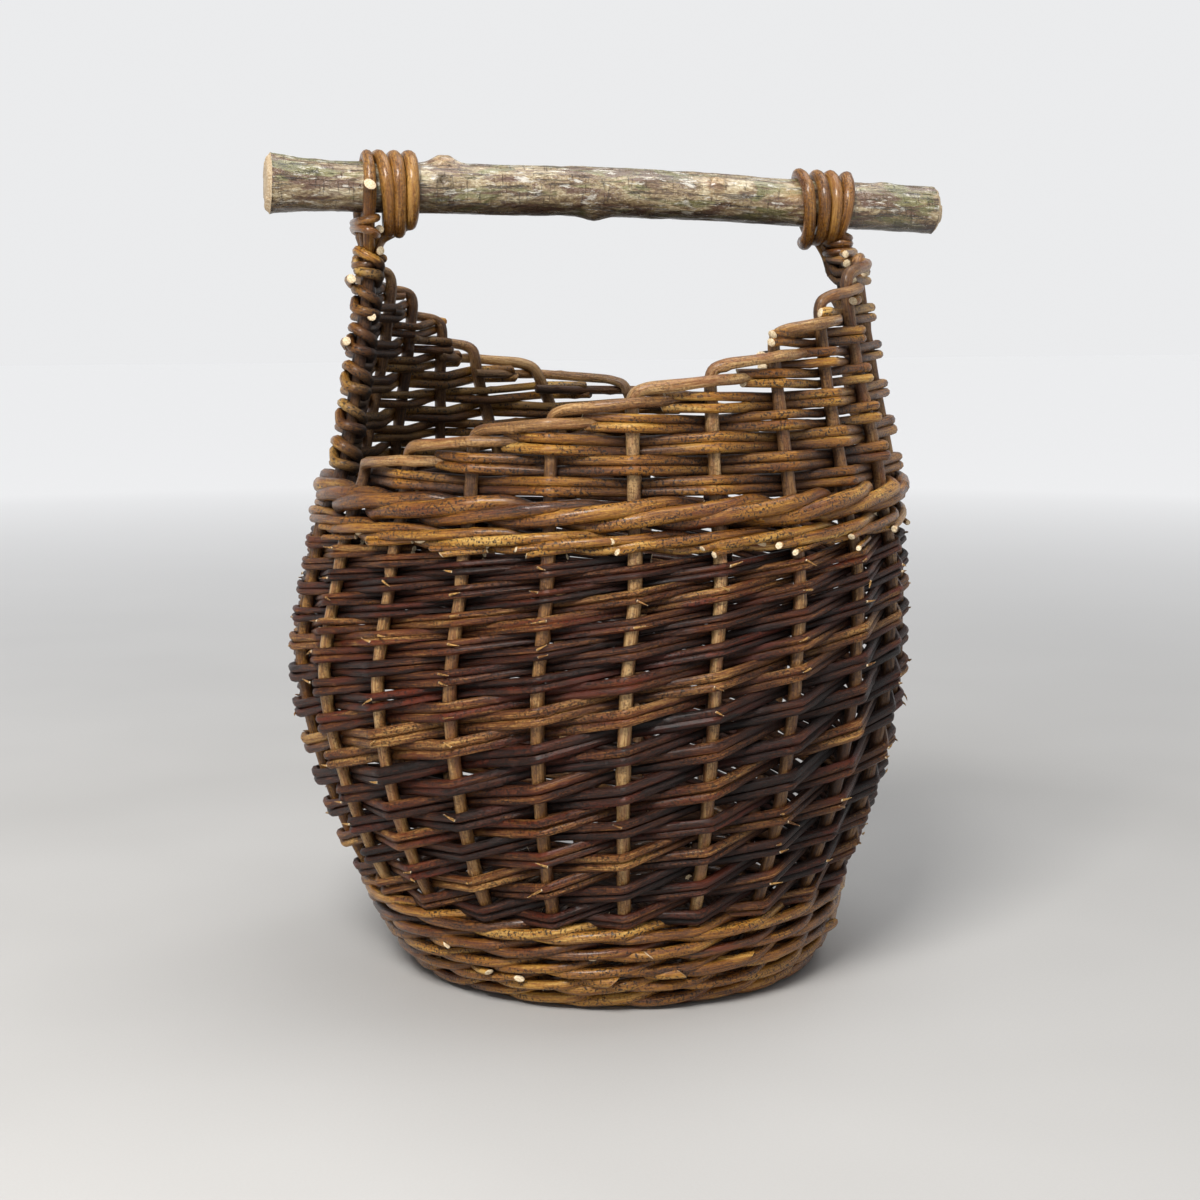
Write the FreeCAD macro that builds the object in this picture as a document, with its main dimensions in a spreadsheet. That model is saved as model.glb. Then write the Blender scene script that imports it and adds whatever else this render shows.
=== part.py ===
import FreeCAD, Part
import math
import os

import Sketcher

Vector = FreeCAD.Vector
Rotation = FreeCAD.Rotation
Placement = FreeCAD.Placement
Z_AXIS = Vector(0, 0, 1)

# Log basket woven from willow rods round upright stakes.
# Frame: millimetres, +Z up, origin on the floor under the middle of the base.
# The two posts stand on the X axis and the branch handle lies along X over them.
# The wall is widest at the belly. Above the top wale it splits into a front and a back panel.
# Each panel starts low at the foot of one post and climbs in steps to the head of the other.

os.makedirs("parts", exist_ok=True)
doc = FreeCAD.newDocument("LogBasket")

# ---------------------------------------------------------------- driving dimensions
DIMENSIONS = {
    # outside of the wall: radius and height of each station, from the floor up
    "foot_radius": 126.0,
    "foot_wale_top_radius": 145.3,
    "foot_wale_top_height": 20.0,
    "upset_top_radius": 160.0,
    "upset_top_height": 58.0,
    "belly_radius": 200.0,
    "belly_height": 203.0,
    "siding_top_radius": 192.0,
    "siding_top_height": 284.0,
    "thin_wale_top_radius": 190.2,
    "thin_wale_top_height": 295.0,
    "thick_wale_top_radius": 186.3,
    "thick_wale_top_height": 316.0,
    "neck_radius": 183.0,
    "neck_height": 349.0,
    "ear_radius": 173.0,
    "ear_height": 415.0,
    "ear_top_radius": 167.0,
    "ear_top_height": 470.0,
    # radius of the curve that joins one station to the next
    "upset_curve": 100.0,
    "belly_curve": 350.0,
    "shoulder_curve": 940.0,
    # woven wall
    "wall_thickness": 18.5,
    "wall_rod_depth": 9.5,
    "foot_inner_radius": 120.0,
    "weave_gap": 0.2,
    "clearance": 0.35,
    # rods
    "stake_diameter": 7.8,
    "lashing_rod_diameter": 7.7,
    # base
    "base_stick_diameter": 10.0,
    "base_stick_radius_reach": 114.0,
    "base_stick_spacing": 11.0,
    "base_open_radius": 30.0,
    "base_centre_square": 35.0,
    "base_rim_radius": 119.0,
    "base_rod_height": 12.0,
    "base_weave_thickness": 17.0,
    "split_height": 4.8,
    "shaved_thickness": 4.2,
    "stake_foot_start": 74.0,
    "stake_foot_kink": 124.0,
    # handle
    "handle_length": 442.0,
    "handle_height": 488.0,
    "handle_tilt": 1.9,
    "handle_radius": 16.0,
    "handle_butt_radius": 18.5,
    "handle_tip_radius": 15.5,
    "handle_bow": 3.0,
    "handle_chamfer": 3.0,
    "post_splay_height": 447.0,
    "post_left_splay": 29.2,
    "post_right_splay": 20.6,
    "post_left_top": 493.0,
    "post_right_top": 479.0,
    "lashing_left_reach": 146.0,
    "lashing_right_reach": 135.0,
    "lashing_clearance": 0.9,
    "lashing_tail_length": 60.0,
}

# height at which each stake is bent over, from the low end of a panel to its ear
RIM_HEIGHTS = (327.0, 340.0, 351.0, 363.0, 375.0, 388.0, 407.0, 426.0, 441.0, 454.0)
STAKES_PER_PANEL = len(RIM_HEIGHTS)
for number, height in enumerate(RIM_HEIGHTS, start=1):
    DIMENSIONS[f"rim_height_{number:02d}"] = height

sheet = doc.addObject("Spreadsheet::Sheet", "Sizes")
for row, (alias, value) in enumerate(DIMENSIONS.items(), start=1):
    sheet.set(f"A{row}", alias.replace("_", " "))
    sheet.set(f"B{row}", str(value))
    sheet.setAlias(f"B{row}", alias)
doc.recompute()


def size(alias):
    return float(sheet.get(alias))


STAKE_PITCH = 360.0 / (2 * STAKES_PER_PANEL + 2)   # one place in 22 round the wall
STICK_PITCH = 30.0                                 # twelve base stick ends
HALF_STAKE = size("stake_diameter") / 2
HALF_STICK = size("base_stick_diameter") / 2
STEP_LEAD = 3.0           # degrees of weave before the stake that starts a step
TAIL_END = 12.3           # degrees from a stake to the end of its bent-over tail
TAIL_END_AT_POST = 6.0    # the last tail of a panel stops short of the post
POST_WRAP = 4.0           # degrees of weave that turn round a post
POST_CLEAR = 5.0          # degrees from a post to the start of the next panel
FRONT_START = 180.0       # azimuth of the left post, where the front panel starts
BACK_START = 0.0          # azimuth of the right post, where the back panel starts


# ---------------------------------------------------------------- shape of the wall
# (station, curve to the next station or None for a straight run)
WALL = (
    ("foot", "upset_curve"),
    ("foot_wale_top", "upset_curve"),
    ("upset_top", "belly_curve"),
    ("belly", "shoulder_curve"),
    ("siding_top", "shoulder_curve"),
    ("thin_wale_top", "shoulder_curve"),
    ("thick_wale_top", "shoulder_curve"),
    ("neck", None),
    ("ear", None),
    ("ear_top", None),
)
STATION_NAMES = [name for name, curve in WALL]


def station_point(name):
    height = 0.0 if name == "foot" else size(f"{name}_height")
    return size(f"{name}_radius"), height


def arc_centre(low, high, radius):
    """Centre of the arc of this radius from low to high that bulges away from the axis."""
    chord_r = high[0] - low[0]
    chord_z = high[1] - low[1]
    chord = math.hypot(chord_r, chord_z)
    inset = math.sqrt(radius ** 2 - (chord / 2) ** 2)
    middle_r = (low[0] + high[0]) / 2
    middle_z = (low[1] + high[1]) / 2
    return middle_r - inset * chord_z / chord, middle_z + inset * chord_r / chord


def wall_radius(height):
    """Radius of the outside of the wall at a height."""
    for (name, curve), (next_name, _) in zip(WALL, WALL[1:]):
        low = station_point(name)
        high = station_point(next_name)
        if height <= high[1] or next_name == STATION_NAMES[-1]:
            break
    if curve is None:
        return low[0] + (high[0] - low[0]) * (height - low[1]) / (high[1] - low[1])
    radius = size(curve)
    centre_r, centre_z = arc_centre(low, high, radius)
    return centre_r + math.sqrt(radius ** 2 - (height - centre_z) ** 2)


def polar(radius, azimuth, height):
    angle = math.radians(azimuth)
    return Vector(radius * math.cos(angle), radius * math.sin(angle), height)


def in_wall(azimuth, height):
    """A point on the line that the stakes follow inside the woven wall."""
    return polar(wall_radius(height) - size("wall_rod_depth"), azimuth, height)


# ---------------------------------------------------------------- document helpers
def origin_plane(body, role):
    for feature in body.Origin.OriginFeatures:
        if feature.Role == role:
            return feature
    raise ValueError(role)


def new_sketch(body, name, role):
    sketch = body.newObject("Sketcher::SketchObject", name)
    sketch.AttachmentSupport = [(origin_plane(body, role), "")]
    sketch.MapMode = "FlatFace"
    return sketch


def place_corner(sketch, edge, end, corner):
    """Bind the (x, y) of a sketch point to sheet expressions; None puts it on the axis."""
    for axis, kind, expression in ((-1, "DistanceY", corner[1]), (-2, "DistanceX", corner[0])):
        if expression is None:
            sketch.addConstraint(Sketcher.Constraint("PointOnObject", edge, end, axis))
            continue
        point = sketch.getPoint(edge, end)
        value = point.y if kind == "DistanceY" else point.x
        index = sketch.addConstraint(Sketcher.Constraint(kind, -1, 1, edge, end, value))
        sketch.setExpression(f"Constraints[{index}]", expression)


def draw_outline(sketch, corners):
    """Closed outline from corners of (x, y, x expression, y expression, curve alias)."""
    count = len(corners)
    for index, corner in enumerate(corners):
        following = corners[(index + 1) % count]
        start = Vector(corner[0], corner[1], 0)
        finish = Vector(following[0], following[1], 0)
        curve = corner[4]
        if curve is None:
            sketch.addGeometry(Part.LineSegment(start, finish))
            continue
        low, high = sorted((corner[:2], following[:2]), key=lambda point: point[1])
        centre_r, centre_z = arc_centre(low, high, size(curve))
        middle_z = (low[1] + high[1]) / 2
        middle_r = centre_r + math.sqrt(size(curve) ** 2 - (middle_z - centre_z) ** 2)
        arc = Part.Arc(Vector(*low, 0), Vector(middle_r, middle_z, 0), Vector(*high, 0))
        sketch.addGeometry(arc)
    rising = [corners[i][1] < corners[(i + 1) % count][1] for i in range(count)]

    def ends(index):
        """Which end of this edge starts it and which finishes it, going round the outline."""
        if corners[index][4] is None or rising[index]:
            return 1, 2
        return 2, 1

    for index in range(count):
        following = (index + 1) % count
        finish = ends(index)[1]
        start = ends(following)[0]
        sketch.addConstraint(Sketcher.Constraint("Coincident", index, finish, following, start))
    for index, corner in enumerate(corners):
        place_corner(sketch, index, ends(index)[0], (corner[2], corner[3]))
        if corner[4] is not None:
            radius = Sketcher.Constraint("Radius", index, size(corner[4]))
            number = sketch.addConstraint(radius)
            sketch.setExpression(f"Constraints[{number}]", f"Sizes.{corner[4]}")


def revolved_body(name, corners, angle=360.0):
    """A body turned about Z from an outline in the XZ plane."""
    body = doc.addObject("PartDesign::Body", name)
    sketch = new_sketch(body, f"{name}_outline", "XZ_Plane")
    draw_outline(sketch, corners)
    turn = body.newObject("PartDesign::Revolution", f"{name}_turn")
    turn.Profile = sketch
    turn.ReferenceAxis = (sketch, ["V_Axis"])
    turn.Angle = angle
    body.Tip = turn
    return body


def wall_corners(first, last):
    """Outline of a band of the wall: outside going up, inside coming down."""
    start = STATION_NAMES.index(first)
    names = STATION_NAMES[start:STATION_NAMES.index(last) + 1]
    curves = dict(WALL)
    thickness = size("wall_thickness")
    gap = size("weave_gap")
    corners = []
    for name in names:
        radius, height = station_point(name)
        lift = gap if name == first and height else 0.0
        lift_text = " + Sizes.weave_gap" if lift else ""
        height_text = f"Sizes.{name}_height{lift_text}" if height else None
        corners.append([radius, height + lift, f"Sizes.{name}_radius", height_text, curves[name]])
    corners[-1][4] = None
    inside = []
    for index in range(len(names) - 1, -1, -1):
        outer = corners[index]
        curve = curves[names[index - 1]] if index else None
        radius_text = f"{outer[2]} - Sizes.wall_thickness"
        inside.append([outer[0] - thickness, outer[1], radius_text, outer[3], curve])
    return corners + inside


# ---------------------------------------------------------------- rods
STRAIGHT = math.radians(0.05)      # runs closer than this to one line need no arc


def rod_path(points):
    """Wire of straight runs joined by tangent arcs as large as the runs allow."""
    edges = []
    start = points[0]
    for before, corner, after in zip(points, points[1:], points[2:]):
        incoming = (corner - before).normalize()
        outgoing = (after - corner).normalize()
        turn = incoming.getAngle(outgoing)
        if turn < STRAIGHT:
            continue
        shorter = min(corner.distanceToPoint(before), corner.distanceToPoint(after))
        setback = 0.45 * shorter
        radius = setback / math.tan(turn / 2)
        arc_start = corner - incoming * setback
        arc_end = corner + outgoing * setback
        inward = (outgoing - incoming).normalize()
        bulge = radius / math.cos(turn / 2) - radius
        edges.append(Part.LineSegment(start, arc_start).toShape())
        edges.append(Part.Arc(arc_start, corner + inward * bulge, arc_end).toShape())
        start = arc_end
    edges.append(Part.LineSegment(start, points[-1]).toShape())
    return Part.Wire(edges)


def swept_rod(name, points, radius_text, seam=0.0):
    """A round rod swept along a path, its section bound to the sheet, its seam turned."""
    path = doc.addObject("Part::Feature", f"{name}_path")
    path.Shape = rod_path(points)
    section = doc.addObject("Part::Circle", f"{name}_section")
    section.setExpression("Radius", radius_text)
    facing = Placement(points[0], Rotation(Z_AXIS, points[1] - points[0]))
    section.Placement = facing.multiply(Placement(Vector(), Rotation(Z_AXIS, seam)))
    rod = doc.addObject("Part::Sweep", name)
    rod.Sections = [section]
    rod.Spine = (path, [])
    rod.Solid = True
    rod.Frenet = False
    return rod


def cut(name, base, tool):
    result = doc.addObject("Part::Cut", name)
    result.Base = base
    result.Tool = tool
    return result


def gather(name, parts):
    group = doc.addObject("Part::Compound", name)
    group.Links = parts
    return group


# ---------------------------------------------------------------- stakes and posts
WALL_LEVELS = (35.0, 62.0, 115.0, 160.0, 203.0, 250.0, 295.0, 349.0, 415.0)
LEVEL_MARGIN = 14.0       # shortest upright run below a bend


def stick_bend(azimuth):
    """Where the base stick that ends at this azimuth leaves the middle of the base."""
    lane = round((azimuth % 90) / STICK_PITCH)
    if lane == 0:
        return Vector(0, 0, 0)
    side = 1 if lane == 1 else -1
    group = azimuth - side * STICK_PITCH
    across = polar(side * size("base_stick_spacing"), group + 90, 0)
    return polar(size("base_open_radius"), group, 0) + across


def stake_points(stick_azimuth, side, azimuth, top, apart=0.0, tail_end=0.0):
    """Path of a stake: out along a base stick, up through the wall, over at the rim."""
    bend = stick_bend(stick_azimuth)
    direction = polar(1, stick_azimuth, 0)
    beside = polar(HALF_STICK + HALF_STAKE + size("clearance"), stick_azimuth + 90 * side, 0)
    on_stick = bend + beside + Vector(0, 0, size("base_rod_height"))
    points = [
        on_stick + direction * (size("stake_foot_start") - bend.Length),
        on_stick + direction * (size("stake_foot_kink") - bend.Length),
    ]
    aside = polar(apart, azimuth + 90 * side, 0)
    for height in WALL_LEVELS:
        if height < top - LEVEL_MARGIN:
            points.append(in_wall(azimuth, height) + aside)
    corner = in_wall(azimuth, top) + aside
    points.append(corner)
    if tail_end:
        radius = math.hypot(corner.x, corner.y)
        points.append(polar(radius, azimuth + tail_end / 2, top))
        points.append(polar(radius, azimuth + tail_end, top))
    return points


POST_REACH = size("ear_top_radius") - size("wall_rod_depth")
POST_HALF_GAP = 0.6       # half the gap between the two rods of a post
SPLAY_RISE = 22.0         # height over which the two rods of a post part round the handle
rods = []                 # (name, path points) of every upright rod


def plan_panel(side_name, start):
    """Ten stakes of one panel, two to each base stick end."""
    for number in range(1, STAKES_PER_PANEL + 1):
        azimuth = start + number * STAKE_PITCH
        stick = start + ((number + 1) // 2) * STICK_PITCH
        side = -1 if number % 2 else 1
        top = size(f"rim_height_{number:02d}")
        tail = TAIL_END_AT_POST if number == STAKES_PER_PANEL else TAIL_END
        points = stake_points(stick, side, azimuth, top, tail_end=tail)
        rods.append((f"stake_{side_name}_{number:02d}", points))


def plan_post(side_name, azimuth):
    """Two rods side by side make a post, and part at its head to grip the handle."""
    for side in (-1, 1):
        outward = polar(POST_REACH, azimuth, 0)
        sideways = polar(size(f"post_{side_name}_splay"), azimuth + 90 * side, 0)
        splay = size("post_splay_height")
        points = stake_points(azimuth, side, azimuth, splay, HALF_STAKE + POST_HALF_GAP)
        points.append(outward + sideways + Vector(0, 0, splay + SPLAY_RISE))
        points.append(outward + sideways + Vector(0, 0, size(f"post_{side_name}_top")))
        place = "front" if sideways.y < 0 else "back"
        rods.append((f"post_{side_name}_{place}", points))


plan_panel("front", FRONT_START)
plan_panel("back", BACK_START)
plan_post("right", BACK_START)
plan_post("left", FRONT_START)

nodes = {}                # node name to document object
channels = []
# degrees that a rod's seam is turned, to keep it off the edges of the wales it goes through
TURNED_SEAMS = {"stake_front_09": 30.0}
for name, points in rods:
    seam = TURNED_SEAMS.get(name, 0.0)
    nodes[name] = swept_rod(name, points, "Sizes.stake_diameter / 2", seam)
    channels.append(swept_rod(f"{name}_channel", points,
                              "Sizes.stake_diameter / 2 + Sizes.clearance", seam))


# ---------------------------------------------------------------- base sticks
def stick_points(azimuth, lane, reach):
    """A base stick: parallel through the centre, then fanned out to its own direction."""
    level = Vector(0, 0, size("base_rod_height"))
    points = []
    for end in (azimuth + 180 - lane * STICK_PITCH, azimuth + lane * STICK_PITCH):
        bend = stick_bend(end)
        tip = bend + polar(reach - bend.Length, end, 0)
        points.append([tip + level, bend + level])
    near, far = points
    if lane == 0:
        return [near[0], far[0]]
    return near + far[::-1]


def centre_box(name, height_text, bottom_text):
    """A square box over the middle of the base."""
    box = doc.addObject("Part::Box", name)
    box.setExpression("Length", "Sizes.base_centre_square")
    box.setExpression("Width", "Sizes.base_centre_square")
    box.setExpression("Height", height_text)
    box.setExpression(".Placement.Base.x", "-Sizes.base_centre_square / 2")
    box.setExpression(".Placement.Base.y", "-Sizes.base_centre_square / 2")
    box.setExpression(".Placement.Base.z", f"Sizes.base_rod_height + {bottom_text}")
    return box


stick_channels = []
# one outer stick, the middle one, and the other outer stick turned half round
for number, (half_turn, lane) in enumerate(((0.0, -1), (0.0, 0), (180.0, -1)), start=1):
    reach = size("base_stick_radius_reach")
    for name, azimuth in ((f"base_stick_split_{number}", half_turn),
                          (f"base_stick_through_{number}", half_turn + 90.0)):
        points = stick_points(azimuth, lane, reach)
        longer = stick_points(azimuth, lane, reach + size("clearance"))
        whole = swept_rod(f"{name}_whole", points, "Sizes.base_stick_diameter / 2")
        stick_channels.append(swept_rod(f"{name}_channel", longer,
                                        "Sizes.base_stick_diameter / 2 + Sizes.clearance"))
        if "split" in name:
            # the slit that the other three sticks are pushed through
            tool = centre_box(f"{name}_slit", "Sizes.split_height", "-Sizes.split_height / 2")
        else:
            # the middle is shaved flat, above and below, to pass the slits
            above = centre_box(f"{name}_shaving_above", "Sizes.base_stick_diameter",
                               "Sizes.shaved_thickness / 2")
            below = centre_box(f"{name}_shaving_below", "Sizes.base_stick_diameter",
                               "-(Sizes.base_stick_diameter + Sizes.shaved_thickness / 2)")
            tool = gather(f"{name}_shavings", [above, below])
        nodes[name] = cut(name, whole, tool)

# ---------------------------------------------------------------- base weave
weave_half = "Sizes.base_weave_thickness / 2"
low = size("base_rod_height") - size("base_weave_thickness") / 2
high = size("base_rod_height") + size("base_weave_thickness") / 2
rim = size("base_rim_radius")
low_text = f"Sizes.base_rod_height - {weave_half}"
high_text = f"Sizes.base_rod_height + {weave_half}"
base_disc = revolved_body("base_disc", [
    (0.0, low, None, low_text, None),
    (rim, low, "Sizes.base_rim_radius", low_text, None),
    (rim, high, "Sizes.base_rim_radius", high_text, None),
    (0.0, high, None, high_text, None),
])
centre_hole = centre_box("base_centre_hole", "2 * Sizes.base_weave_thickness",
                         "-Sizes.base_weave_thickness")
base_ring = cut("base_ring", base_disc, centre_hole)
base_sticks_cut = cut("base_sticks_cut", base_ring, gather("stick_channels", stick_channels))
front_channels = gather("front_channels", [c for c in channels if "front" in c.Name])
back_channels = gather("back_channels", [c for c in channels if "back" in c.Name])


def thread(name, whole):
    """Leave room in a woven body for the uprights of the front half, then of the back."""
    half = cut(f"{name}_half_threaded", whole, front_channels)
    return cut(name, half, back_channels)


nodes["base_weave"] = thread("base_weave", base_sticks_cut)

# ---------------------------------------------------------------- rings of the wall
BETWEEN_STAKES = Placement(Vector(0, 0, 0), Rotation(Z_AXIS, STAKE_PITCH / 2))
# the foot wale has an upright inside face round the edge of the base
foot_top_radius, foot_top = station_point("foot_wale_top")
foot_inner = size("foot_inner_radius")
foot_ring = revolved_body("foot_wale_ring", [
    (size("foot_radius"), 0.0, "Sizes.foot_radius", None, "upset_curve"),
    (foot_top_radius, foot_top, "Sizes.foot_wale_top_radius", "Sizes.foot_wale_top_height", None),
    (foot_inner, foot_top, "Sizes.foot_inner_radius", "Sizes.foot_wale_top_height", None),
    (foot_inner, 0.0, "Sizes.foot_inner_radius", None, None),
])
foot_ring.Placement = BETWEEN_STAKES
nodes["foot_wale"] = thread("foot_wale", foot_ring)

RINGS = (
    ("upset_wale", "foot_wale_top", "upset_top"),
    ("siding_weave", "upset_top", "siding_top"),
    ("top_wale_thin", "siding_top", "thin_wale_top"),
    ("top_wale_thick", "thin_wale_top", "thick_wale_top"),
)
for name, first, last in RINGS:
    ring = revolved_body(f"{name}_ring", wall_corners(first, last))
    ring.Placement = BETWEEN_STAKES
    nodes[name] = thread(name, ring)

# ---------------------------------------------------------------- handle
handle_frame = Placement(
    Vector(0, 0, size("handle_height")),
    Rotation(Vector(0, 1, 0), size("handle_tilt")),
)
ALONG_X = Rotation(Vector(0, 1, 0), 90)
# share of the half length, radius of the branch there, share of the bow
HANDLE_STATIONS = (
    (-1.0, "handle_butt_radius", 0.0),
    (-0.85, "handle_radius", 0.0),
    (-0.5, "handle_radius", 0.15),
    (0.0, "handle_radius", 1.0),
    (0.5, "handle_radius", 0.15),
    (0.85, "handle_radius", 0.0),
    (1.0, "handle_tip_radius", 0.0),
)
sections = []
for number, (share, radius_alias, bow) in enumerate(HANDLE_STATIONS, start=1):
    section = doc.addObject("Part::Circle", f"handle_section_{number}")
    section.setExpression("Radius", f"Sizes.{radius_alias}")
    local = Vector(share * size("handle_length") / 2, 0, bow * size("handle_bow"))
    section.Placement = handle_frame.multiply(Placement(local, ALONG_X))
    sections.append(section)
branch = doc.addObject("Part::Loft", "handle_branch_whole")
branch.Sections = sections
branch.Solid = True
doc.recompute()
end_edges = [index for index, edge in enumerate(branch.Shape.Edges, start=1)
             if edge.isClosed() and edge.Length > math.pi * size("handle_radius")]
handle = doc.addObject("Part::Chamfer", "handle_branch")
handle.Base = branch
handle.Edges = [(index, size("handle_chamfer"), size("handle_chamfer")) for index in end_edges]
nodes["handle_branch"] = handle

# ---------------------------------------------------------------- lashings
TURNS = 4
coil_radius = size("lashing_rod_diameter") / 2
bore = size("handle_radius") + size("lashing_clearance")
bore_text = "Sizes.handle_radius + Sizes.lashing_clearance"
ring_text = f"{bore_text} + Sizes.lashing_rod_diameter / 2"
ring_radius = bore + coil_radius
tails = []


def lashing(side_name, side):
    """Four turns of one rod round the handle, its tail pushed down beside the post."""
    body = doc.addObject("PartDesign::Body", f"lashing_{side_name}_coil")
    sketch = new_sketch(body, f"lashing_{side_name}_outline", "XZ_Plane")
    reach = TURNS * coil_radius
    sketch.addGeometry(Part.LineSegment(Vector(ring_radius, reach, 0), Vector(bore, reach, 0)))
    sketch.addGeometry(Part.LineSegment(Vector(bore, reach, 0), Vector(bore, -reach, 0)))
    sketch.addGeometry(Part.LineSegment(Vector(bore, -reach, 0), Vector(ring_radius, -reach, 0)))
    for turn in range(TURNS):
        bottom = Vector(ring_radius, -reach + 2 * coil_radius * turn, 0)
        crest = bottom + Vector(coil_radius, coil_radius, 0)
        top = bottom + Vector(0, 2 * coil_radius, 0)
        sketch.addGeometry(Part.Arc(bottom, crest, top))
    last = 2 + TURNS
    joins = [(0, 2, 1, 1), (1, 2, 2, 1), (2, 2, 3, 1)]
    joins += [(index, 2, index + 1, 1) for index in range(3, last)]
    joins.append((last, 2, 0, 1))
    for first, first_end, second, second_end in joins:
        sketch.addConstraint(
            Sketcher.Constraint("Coincident", first, first_end, second, second_end))
    for index in range(3, last + 1):
        # every crest is a half round of the rod's own radius
        sketch.addConstraint(Sketcher.Constraint("Radius", index, coil_radius))
        sketch.setExpression(f"Constraints[{len(sketch.Constraints) - 1}]",
                             "Sizes.lashing_rod_diameter / 2")
        sketch.addConstraint(
            Sketcher.Constraint("DistanceX", -1, 1, index, 1, ring_radius))
        sketch.setExpression(f"Constraints[{len(sketch.Constraints) - 1}]", ring_text)
    turn = body.newObject("PartDesign::Revolution", f"lashing_{side_name}_turns")
    turn.Profile = sketch
    turn.ReferenceAxis = (sketch, ["V_Axis"])
    turn.Angle = 360.0
    body.Tip = turn
    local = Vector(side * size(f"lashing_{side_name}_reach"), 0, 0)
    body.Placement = handle_frame.multiply(Placement(local, ALONG_X))

    # the tail leaves the inner turn tangentially, on the ear's side, and goes into the wall
    centre = body.Placement.Base
    ear_side = -side
    inner_turn = centre.x - side * (TURNS - 1) * coil_radius
    head = Vector(inner_turn, ear_side * ring_radius, centre.z)
    foot_height = head.z - size("lashing_tail_length")
    depth = wall_radius(foot_height) - size("wall_rod_depth")
    foot_x = side * math.sqrt(depth ** 2 - ring_radius ** 2)
    foot = Vector(foot_x, head.y, foot_height)
    solids = []
    for suffix, extra in (("tail", "0"), ("tail_channel", "Sizes.clearance")):
        rod = doc.addObject("Part::Cylinder", f"lashing_{side_name}_{suffix}")
        rod.setExpression("Radius", f"Sizes.lashing_rod_diameter / 2 - 0.05 + {extra}")
        rod.Height = head.distanceToPoint(foot) + (size("clearance") if extra != "0" else 0)
        rod.Placement = Placement(head, Rotation(Z_AXIS, foot - head))
        solids.append(rod)
    tails.append(solids[1])
    joined = doc.addObject("Part::Fuse", f"lashing_{side_name}")
    joined.Base = body
    joined.Tool = solids[0]
    nodes[joined.Name] = joined


lashing("left", -1)
lashing("right", 1)

# ---------------------------------------------------------------- panels
TOP_MARGIN = size("stake_diameter") / 2 + size("clearance")
WEDGE_RADIUS = 260.0
WEDGE_HEIGHT = 250.0


def wedge(name, start, finish, height_text):
    """A pie slice above a step of the rim."""
    slice_ = doc.addObject("Part::Cylinder", name)
    slice_.Radius = WEDGE_RADIUS
    slice_.Height = WEDGE_HEIGHT
    slice_.Angle = finish - start
    slice_.Placement = Placement(Vector(0, 0, 0), Rotation(Z_AXIS, start))
    slice_.setExpression(".Placement.Base.z", height_text)
    return slice_


def panel(side_name, start, tail_channel):
    """One stepped panel, from the foot of one post to the head of the other."""
    first = start + STAKE_PITCH - STEP_LEAD
    post = start + 180.0
    last = post + POST_WRAP
    body = revolved_body(f"panel_{side_name}_band", wall_corners("thick_wale_top", "ear_top"),
                         last - first)
    body.Placement = Placement(Vector(0, 0, 0), Rotation(Z_AXIS, first))
    body.Tip.Reversed = False
    steps = []
    for number in range(1, STAKES_PER_PANEL + 1):
        begin = start + number * STAKE_PITCH - STEP_LEAD
        end = begin + STAKE_PITCH
        if number == 1:
            begin -= STEP_LEAD
        if number == STAKES_PER_PANEL:
            end = post - POST_CLEAR
        text = (f"Sizes.rim_height_{number:02d} - Sizes.stake_diameter / 2 - Sizes.clearance")
        steps.append(wedge(f"panel_{side_name}_step_{number:02d}", begin, end, text))
    steps.append(wedge(f"panel_{side_name}_step_post", post - POST_CLEAR, last + STEP_LEAD,
                       "Sizes.post_splay_height - Sizes.stake_diameter"))
    stairs = doc.addObject("Part::MultiFuse", f"panel_{side_name}_stairs")
    stairs.Shapes = steps
    stepped = cut(f"panel_{side_name}_stepped", body, stairs)
    threaded = thread(f"panel_{side_name}_threaded", stepped)
    nodes[f"panel_{side_name}_weave"] = cut(f"panel_{side_name}_weave", threaded, tail_channel)


panel("front", FRONT_START, tails[1])
panel("back", BACK_START, tails[0])

# ---------------------------------------------------------------- check and write
doc.recompute()
for item in doc.Objects:
    if "Invalid" in item.State or "Error" in item.State:
        raise RuntimeError(f"{item.Name}: {item.State}")

stake_section = math.pi * HALF_STAKE ** 2
for name, points in rods:
    expected = stake_section * rod_path(points).Length
    if abs(nodes[name].Shape.Volume / expected - 1) > 0.01:
        raise RuntimeError(f"{name}: volume {nodes[name].Shape.Volume:.0f}, not {expected:.0f}")

for name, item in nodes.items():
    item.Label = name
    shape = item.Shape
    if shape.isNull() or not shape.isValid():
        raise RuntimeError(f"{name} has no valid shape")
    if len(shape.Solids) != 1:
        volumes = [round(solid.Volume) for solid in shape.Solids]
        raise RuntimeError(f"{name} has solids of {volumes} mm3")
    shape.exportStep(f"parts/{name}.step")
    print(f"{name}: {shape.Volume / 1000:.1f} cm3, top {shape.BoundBox.ZMax:.1f}")
print(len(nodes), "nodes")
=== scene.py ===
import math

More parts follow.
